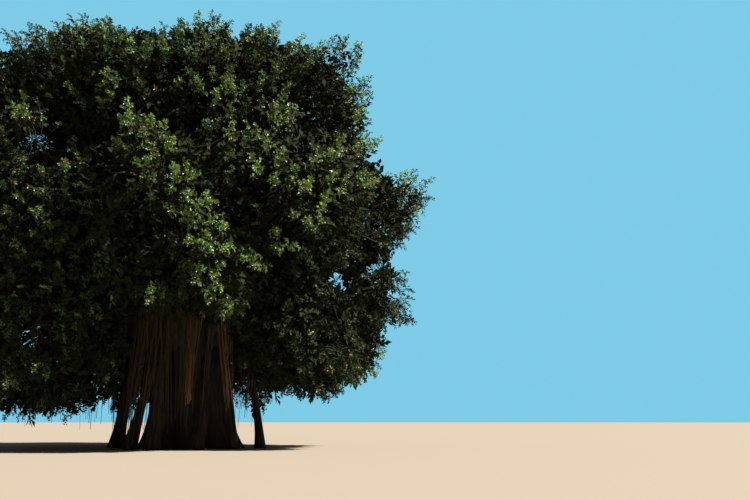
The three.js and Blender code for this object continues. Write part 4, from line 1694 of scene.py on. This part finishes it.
@dataclass
class FoliageMass:
    """One mass of foliage: branches from the stem to hubs, twigs that fan out from them, and sprays.

    A share is of the mass's reach, of a twig's length or of the twigs, as its name tells. The painted light
    on a spray runs from about -1 to 1, and the tone steps are where it passes from one leaf tone to the next.
    """

    limb: Limb
    canopy: Canopy
    relief: Relief
    kit: SprayKit
    twigs: Shell
    seed: int
    hub_count: int = 44
    hub_share: float = 0.46
    branch_rise: float = 0.45
    branch_tip: float = 0.045
    branch_swell: Pair = (0.05, 0.08)
    finger_count: int = 420
    tip_share: float = 0.985
    stray: float = 0.65
    droop: float = -0.5
    lift: float = 0.4
    lift_from: float = 3.0
    lift_run: float = 14.0
    from_hub: float = 0.4
    from_crown: float = 0.55
    fan: float = 0.5
    heading_stray: float = 0.18
    twig_tip: float = 0.012
    twig_swell: Pair = (0.014, 0.024)
    leafy_rise: float = 0.15
    hollow_share: float = 0.42
    quiet_share: float = 0.9
    full_from: float = 19.0
    tufts_per_finger: int = 7
    finger_length: float = 0.72
    end_tilt: float = 0.1
    side_tilt: Pair = (0.5, 1.05)
    # These set the score of painted light and shade that picks each spray's tone.
    gloom: float = 0.4
    painted_top_light: float = 0.2
    tip_light: float = 0.15
    painted_top_shade: float = 0.4
    painted_top_shade_from: float = 19.5
    tone_stray: float = 0.25
    tone_steps: tuple[float, ...] = (0.02, 0.26, 0.52)
    olive_share: float = 0.07
    margin: float = 1.2
    shade_place: float = 0.75
    second_shade_place: float = 0.85
    shade_depth: float = 0.42
    lining_count: int = 235
    high_lining: int = 75
    high_from: float = 17.0
    lining_sprays: int = 3
    lining_place: Pair = (0.6, 0.78)
    border_place: float = 0.2
    lining_sink: float = 0.6
    lining_bow: float = 0.3
    lining_radii: Pair = (0.036, 0.014)
    lining_flatness: float = 0.85
    proud_from: float = 0.4
    beside: float = 0.32
    behind: float = 0.45

    def __post_init__(self) -> None:
        """Starts the mass's own draws."""
        self.space = self.limb.space
        self.draw = np.random.default_rng(self.seed)

    def directions(
        self, count: int, jitter: float, shows: Callable[[Array, Array], Array] | None = None
    ) -> Array:
        """Directions from the mass's centre to the parts of its surface that show.

        Args:
            count: how many are spread over the whole sphere.
            jitter: how far each strays.
            shows: tells which surface points are wanted, or None for all.

        Returns:
            The directions that are wanted.
        """
        spread = even_directions(count, self.draw.uniform(0, math.tau))
        spread = unit(spread + self.draw.normal(size=spread.shape) * jitter)
        places = self.surface(spread, self.tip_share)
        wanted = ~held_by_any(places, BARE_PARTS)
        return spread[wanted if shows is None else wanted & shows(places, spread)]

    def surface(self, directions: Array, share: float | Array) -> Array:
        """The points at a share of the mass's reach in each direction."""
        return self.space.centre + directions * (self.space.reach(directions) * share)[:, None]

    @staticmethod
    def bends(start: Array, end: Array, middle: Array, steps: int) -> Array:
        """Bent paths from each start to each end, pulled by each middle."""
        return bow(start[:, None], middle[:, None], end[:, None], np.linspace(0, 1, steps)[None, :, None])

    def hubs(self) -> tuple[Array, Array]:
        """The hubs that the twigs fan out from, with the branches that lead there.

        Returns:
            The hubs' directions from the mass's centre, and their places.
        """
        directions = self.directions(self.hub_count, 0.05, self.canopy.shows_outside)
        places = self.surface(directions, self.hub_share * self.draw.uniform(0.92, 1.08, len(directions)))
        stem = self.limb.stem()
        start = stem.at(self.draw.uniform(0.35, 1.0, len(directions)))
        raised = UP * self.branch_rise + self.draw.normal(size=places.shape) * 0.15
        paths = self.bends(start, places, mix(start, places, 0.5) + raised, 7)
        taper = np.linspace(1, 0, 7)[None, :] ** 0.8
        radii = self.branch_tip + taper * self.draw.uniform(*self.branch_swell, (len(places), 1))
        self.twigs.add_tubes(paths, radii, 5)
        return directions, places

    def fingers(self, hub_directions: Array, hubs: Array) -> tuple[Array, Array, Array]:
        """The twigs that fan out from each hub to just inside the mass's outline.

        Args:
            hub_directions: the hubs' directions from the mass's centre.
            hubs: their places.

        Returns:
            The twigs' paths, their headings at the tip, and how far each is up its hump.
        """
        directions = self.directions(self.finger_count, 0.03, self.canopy.shows_outside)
        outline = self.surface(directions, self.tip_share)
        rise, from_hump = self.relief.at(outline)
        start = hubs[np.argmax(directions @ hub_directions.T, axis=1)]
        sunk = self.relief.sink(outline, rise) + self.draw.uniform(0, self.stray, len(directions))
        outward = self.canopy.outward(outline)
        tips = outline - outward * sunk[:, None]
        high = np.clip((tips[:, 2:3] - self.lift_from) / self.lift_run, 0, 1)
        lift = mix(self.droop, self.lift, high) * UP
        jitter = self.draw.normal(size=tips.shape) * self.heading_stray
        spread = from_hump * (self.fan * (1 - rise) * (rise > 0))[:, None]
        radial = self.from_hub * unit(tips - start) + self.from_crown * outward
        heading = unit(radial + spread + lift + jitter)
        ends = tips - heading * TUFT.length * 0.9
        middle = ends - heading * np.linalg.norm(ends - start, axis=1, keepdims=True) * 0.5
        return self.bends(start, ends, middle, 5), heading, rise

    def outer_sprays(self, paths: Array, heading: Array, rise: Array) -> Sprays:
        """The tufts at each twig's end and round its last stretch, which make one leafy finger."""
        parts = []
        count = len(paths)
        phase = self.draw.uniform(0, math.tau, count)
        level, over = square_pair(heading)
        twig_size = self.draw.uniform(0.85, 1.15, count)
        for k in range(self.tufts_per_finger):
            back = self.finger_length * k / (self.tufts_per_finger - 1)
            base = paths[:, -1] - heading * (back * twig_size)[:, None]
            lean = mix(*self.side_tilt, back / self.finger_length) if k else self.end_tilt
            tilt = lean + self.draw.normal(size=count) * 0.08
            way = unit(spokes(heading, spokes(level, over, phase + k * GOLDEN_TURN), tilt))
            size = twig_size * self.draw.uniform(0.9, 1.08, count)
            parts.append(self.kept_inside(base, way, size, self.tones(base, rise, way, k)))
        return Sprays.join(parts)

    def tones(self, base: Array, rise: Array, way: Array, order: int) -> Array:
        """A tone for each spray by a score of painted light: lighter at a finger's tip, on a hump and facing
        up.
        """
        light = rise - self.gloom + self.painted_top_light * way[:, 2] + (0.0 if order else self.tip_light)
        # Painted shade and light in the quiet parts, and painted shade at the crown's top.
        light = light - self.relief.painted_shading(base) - self.painted_top_shade * (base[:, 2] > self.painted_top_shade_from)
        light = light + self.draw.normal(size=len(way)) * self.tone_stray
        tones = np.digitize(light, self.tone_steps)
        olive = self.draw.uniform(size=len(way)) < self.olive_share
        return np.where(olive, TONES.index(Tone.OLIVE), tones)

    def kept_inside(self, base: Array, way: Array, size: Array, tone: Array) -> Sprays:
        """Sprays drawn in so that no tip leaves the mass's space."""
        tip = base + way * (self.margin * spray_length(tone) * size)[:, None]
        offset = tip - self.space.centre
        distance = np.linalg.norm(offset, axis=1)
        outward = offset / distance[:, None]
        lifted = np.maximum(0, self.relief.swell(base))
        excess = np.maximum(0, distance - (self.space.ellipsoid_reach(outward) * self.tip_share + lifted))
        roll = self.draw.normal(size=len(base)) * 0.5
        return Sprays(base - outward * excess[:, None], way, roll, size, tone)

    def inner_sprays(self, paths: Array, share: float) -> Sprays:
        """Large sprays in the painted-shade tone on the inner part of each twig, one at a share of its
        length.
        """
        spot = share * (paths.shape[1] - 1)
        low = int(spot)
        base = mix(paths[:, low], paths[:, low + 1], spot - low)
        way = unit(self.draw.normal(size=base.shape) + unit(base - self.space.centre) * 0.3)
        size = self.draw.uniform(0.9, 1.25, len(base))
        outward = self.canopy.outward(base)
        ends = np.maximum(along(way, outward)[:, 0], 0) * SHADE_SPRAY.length * size
        ends = ends + along(base - paths[:, -1], outward)[:, 0]
        base = base - outward * np.maximum(0, ends + self.shade_depth)[:, None]
        return self.kept_inside(base, way, size, np.full(len(base), SHADE_TONE))

    def lining(self) -> Sprays:
        """Large sprays in the painted-shade tone on long branches from the stem, which close every side of
        the mass.
        """
        high = self.space.centre[2] > self.high_from
        directions = self.directions(self.lining_count + (self.high_lining if high else 0), 0.06)
        even = (self.space.reach(directions) / self.space.half.max()) ** 2
        directions = directions[self.draw.uniform(size=len(directions)) < even]
        outline = self.surface(directions, 1.0)
        outward = self.canopy.outward(outline)
        inner = np.clip(-along(directions, outward), 0, 1)
        borders = self.canopy.holds(outline + directions * self.canopy.step)
        share = self.draw.uniform(*self.lining_place, len(directions))
        share = share + np.where(borders, self.border_place, 0.0)
        sunk = np.maximum(0, self.relief.sink(outline, self.relief.at(outline)[0]))[:, None] * (1 - inner)
        places = self.surface(directions, share) - outward * sunk * self.lining_sink
        stem = self.limb.stem().at(self.draw.uniform(0.2, 0.9, len(directions)))
        paths = self.bends(stem, places, mix(stem, places, 0.5) + UP * self.lining_bow, 3)
        self.twigs.add_tubes(paths, np.tile(np.linspace(*self.lining_radii, 3), (len(places), 1)), 3)
        parts = []
        for _ in range(self.lining_sprays):
            way = self.draw.normal(size=places.shape)
            way = unit(way - outward * along(way, outward) * self.lining_flatness)
            size = self.draw.uniform(1.35, 1.7, len(places))
            parts.append(self.kept_inside(places, way, size, np.full(len(places), SHADE_TONE)))
        return Sprays.join(parts)

    def grow(self) -> Sprays:
        """Grows the branches and twigs, and returns the sprays that stand on them."""
        hub_directions, hubs = self.hubs()
        paths, heading, rise = self.fingers(hub_directions, hubs)
        taper = np.linspace(1, 0, paths.shape[1])[None, :]
        radii = self.twig_tip + taper * self.draw.uniform(*self.twig_swell, (len(paths), 1))
        full = held_by_any(paths[:, -1], QUIET_PARTS) | (paths[:, -1, 2] > self.full_from)
        low_share = np.where(full, self.quiet_share, self.hollow_share)
        leafy = self.draw.uniform(size=len(rise)) < np.where(rise > self.leafy_rise, 1.0, low_share)
        self.twigs.add_tubes(paths[leafy], radii[leafy], 3)
        self.twigs.add_tubes(paths[~leafy, :3], radii[~leafy, :3], 3)
        tufts = self.outer_sprays(paths[leafy], heading[leafy], rise[leafy])
        parts = [tufts, self.inner_sprays(paths, self.shade_place), self.lining()]
        proud = self.relief.swell(paths[:, -2]) > self.proud_from
        parts += self.second_twigs(paths[proud], heading[proud], rise[proud], radii[proud])
        return Sprays.join(parts).outside(SKY_GAPS)

    def second_twigs(self, paths: Array, heading: Array, rise: Array, radii: Array) -> list[Sprays]:
        """Leafy twigs beside those that stand out from the outline, which close the gaps among them."""
        beside = self.draw.normal(size=heading.shape) * self.beside - heading * self.behind
        share = np.linspace(0, 1, paths.shape[1])[None, :, None]
        paths = paths + beside[:, None] * share
        self.twigs.add_tubes(paths, radii, 3)
        return [self.outer_sprays(paths, heading, rise), self.inner_sprays(paths, self.second_shade_place)]

    def build(self, tree: GeometryNodeTree, patterns: Collection) -> int:
        """Builds and dresses the mass's leaves and twigs.

        Args:
            tree: the tree that sets sprays on points.
            patterns: the sprays.

        Returns:
            How many sprays the mass has.
        """
        sprays = self.grow()
        count = len(sprays.size)
        points = bpy.data.meshes.new("spray_points")
        points.vertices.add(count)
        points.vertices.foreach_set("co", sprays.base.astype(np.float32).ravel())
        shade = self.kit.tufts + self.draw.integers(0, self.kit.shades, count)
        pattern = np.where(sprays.tone == SHADE_TONE, shade, self.draw.integers(0, self.kit.tufts, count))
        give(points, "turn", "QUATERNION", quaternions(sprays.axes()))
        give(points, "size", "FLOAT", sprays.size)
        give(points, "pattern", "INT", pattern)
        give(points, "tone", "INT", sprays.tone)
        name = f"leaves_{self.space.name}"
        mesh = grown(name, points, tree, {"Sprays": patterns, "Size": 1.0})
        for left in ("turn", "size", "pattern", "tone"):
            if left in mesh.attributes:
                mesh.attributes.remove(mesh.attributes[left])
        place(name, mesh, [f"foliage_{self.space.name}"])
        return count


@dataclass(frozen=True)
class Studio:
    """The floor, the lights and the camera."""

    camera_at: Place = (11.05, -61.4, 1.55)
    tilt: float = 9.6
    lens: float = 48.6
    sensor: float = 36.0
    sight: float = 4000.0
    floor_radius: float = 1300.0
    floor_sides: int = 128
    floor_drop: float = 0.01
    floor_colour: Colour = (0.20, 0.172, 0.142)
    sun_height: float = 50.0
    sun_azimuth: float = 77.0
    sun_strength: float = 14.5
    sun_width: float = 2.0
    sun_colour: Colour = (1.0, 0.93, 0.80)
    sky_colour: Colour = (0.212, 0.60, 0.80)
    fill_colour: Colour = (0.70, 0.74, 0.74)
    fill_strength: float = 0.28

    def floor(self) -> None:
        """A plain pale round floor that reaches to the horizon."""
        ring = flat_ring(turns(self.floor_sides), self.floor_radius)
        points = np.vstack([ring, np.zeros(3)]) - UP * self.floor_drop
        index = np.arange(self.floor_sides)
        middle = np.full(self.floor_sides, self.floor_sides)
        wedges = np.stack([index, np.roll(index, -1), middle], axis=-1)
        mesh = mesh_of("floor", points, NO_QUADS, wedges, False)
        material, graph, shader = new_material("pale_floor")
        graph.feed(shader, {"Base Color": (*self.floor_colour, 1.0), "Roughness": 0.95})
        mesh.materials.append(material)
        new_object("floor", mesh)

    def camera(self) -> None:
        """The camera, level with a standing viewer and tilted up at the crown."""
        data = bpy.data.cameras.new("camera")
        data.lens = self.lens
        data.sensor_width = self.sensor
        data.clip_end = self.sight
        camera = new_object("camera", data)
        camera.location = self.camera_at
        camera.rotation_euler = (math.radians(90 + self.tilt), 0.0, 0.0)
        bpy.context.scene.camera = camera

    def lights(self) -> None:
        """A soft warm key from the right, and a plain pale sky that fills the shade a little."""
        key = bpy.data.lights.new("key", "SUN")
        key.energy = self.sun_strength
        key.color = self.sun_colour
        key.angle = math.radians(self.sun_width)
        lamp = new_object("key", key)
        lamp.rotation_euler = (math.radians(90 - self.sun_height), 0.0, math.radians(self.sun_azimuth))
        world = bpy.data.worlds.new("sky")
        bpy.context.scene.world = world
        world.use_nodes = True
        world.node_tree.nodes.clear()
        graph = Graph(world.node_tree)
        plain = {"Color": (*self.sky_colour, 1.0), "Strength": 1.0}
        faint = {"Color": (*self.fill_colour, 1.0), "Strength": self.fill_strength}
        sockets = {
            0: graph.result("ShaderNodeLightPath", output="Is Camera Ray"),
            1: graph.result("ShaderNodeBackground", faint),
            2: graph.result("ShaderNodeBackground", plain),
        }
        both = graph.result("ShaderNodeMixShader", sockets)
        graph.node("ShaderNodeOutputWorld", {"Surface": both})

    def build(self) -> None:
        """Sets the stage."""
        self.camera()
        self.lights()
        self.floor()
        view = bpy.context.scene.view_settings
        view.view_transform = "Standard"
        view.look = "None"


def main() -> None:
    """Builds the tree in order, from the trunk to the leaves."""
    logging.basicConfig(level=logging.INFO, format="%(name)s %(message)s")
    Studio().build()
    draw = SeededSource(SEED)
    spaces = Crown().spaces(draw)
    skeleton = Skeleton(spaces, draw)
    Trunk().build()
    boughs = Boughs()
    boughs.build("main_boughs", skeleton.boughs)
    boughs.build("low_limbs", skeleton.low)
    boughs.build("upper_limbs", skeleton.upper)
    boughs.build("leaders", skeleton.leaders)
    roots = PropRoots()
    for index, plan in enumerate(PROP_ROOTS):
        roots.build(plan, skeleton.boughs, ROOT_SEED + index)
    HangingRoots().build()
    for tone in TONES:
        tone.value.material()
    kit, canopy = SprayKit(), Canopy(spaces)
    relief = Relief(canopy)
    log.info("%d humps", len(relief.radii))
    tree, patterns = kit.tree(), kit.collection()
    twig_bark = TWIG_BARK.material()
    total = 0
    for ring in Ring:
        twigs = Shell()
        for index, limb in enumerate(limb for limb in skeleton.limbs if limb.space.ring is ring):
            seed = RING_SEED_STEP * (1 + list(Ring).index(ring)) + index
            total += FoliageMass(limb, canopy, relief, kit, twigs, seed).build(tree, patterns)
        mesh = twigs.mesh(f"twigs_{ring.value}", twig_bark)
        place(mesh.name, mesh, [])
    log.info("%d sprays", total)


if __name__ == "__main__":
    main()
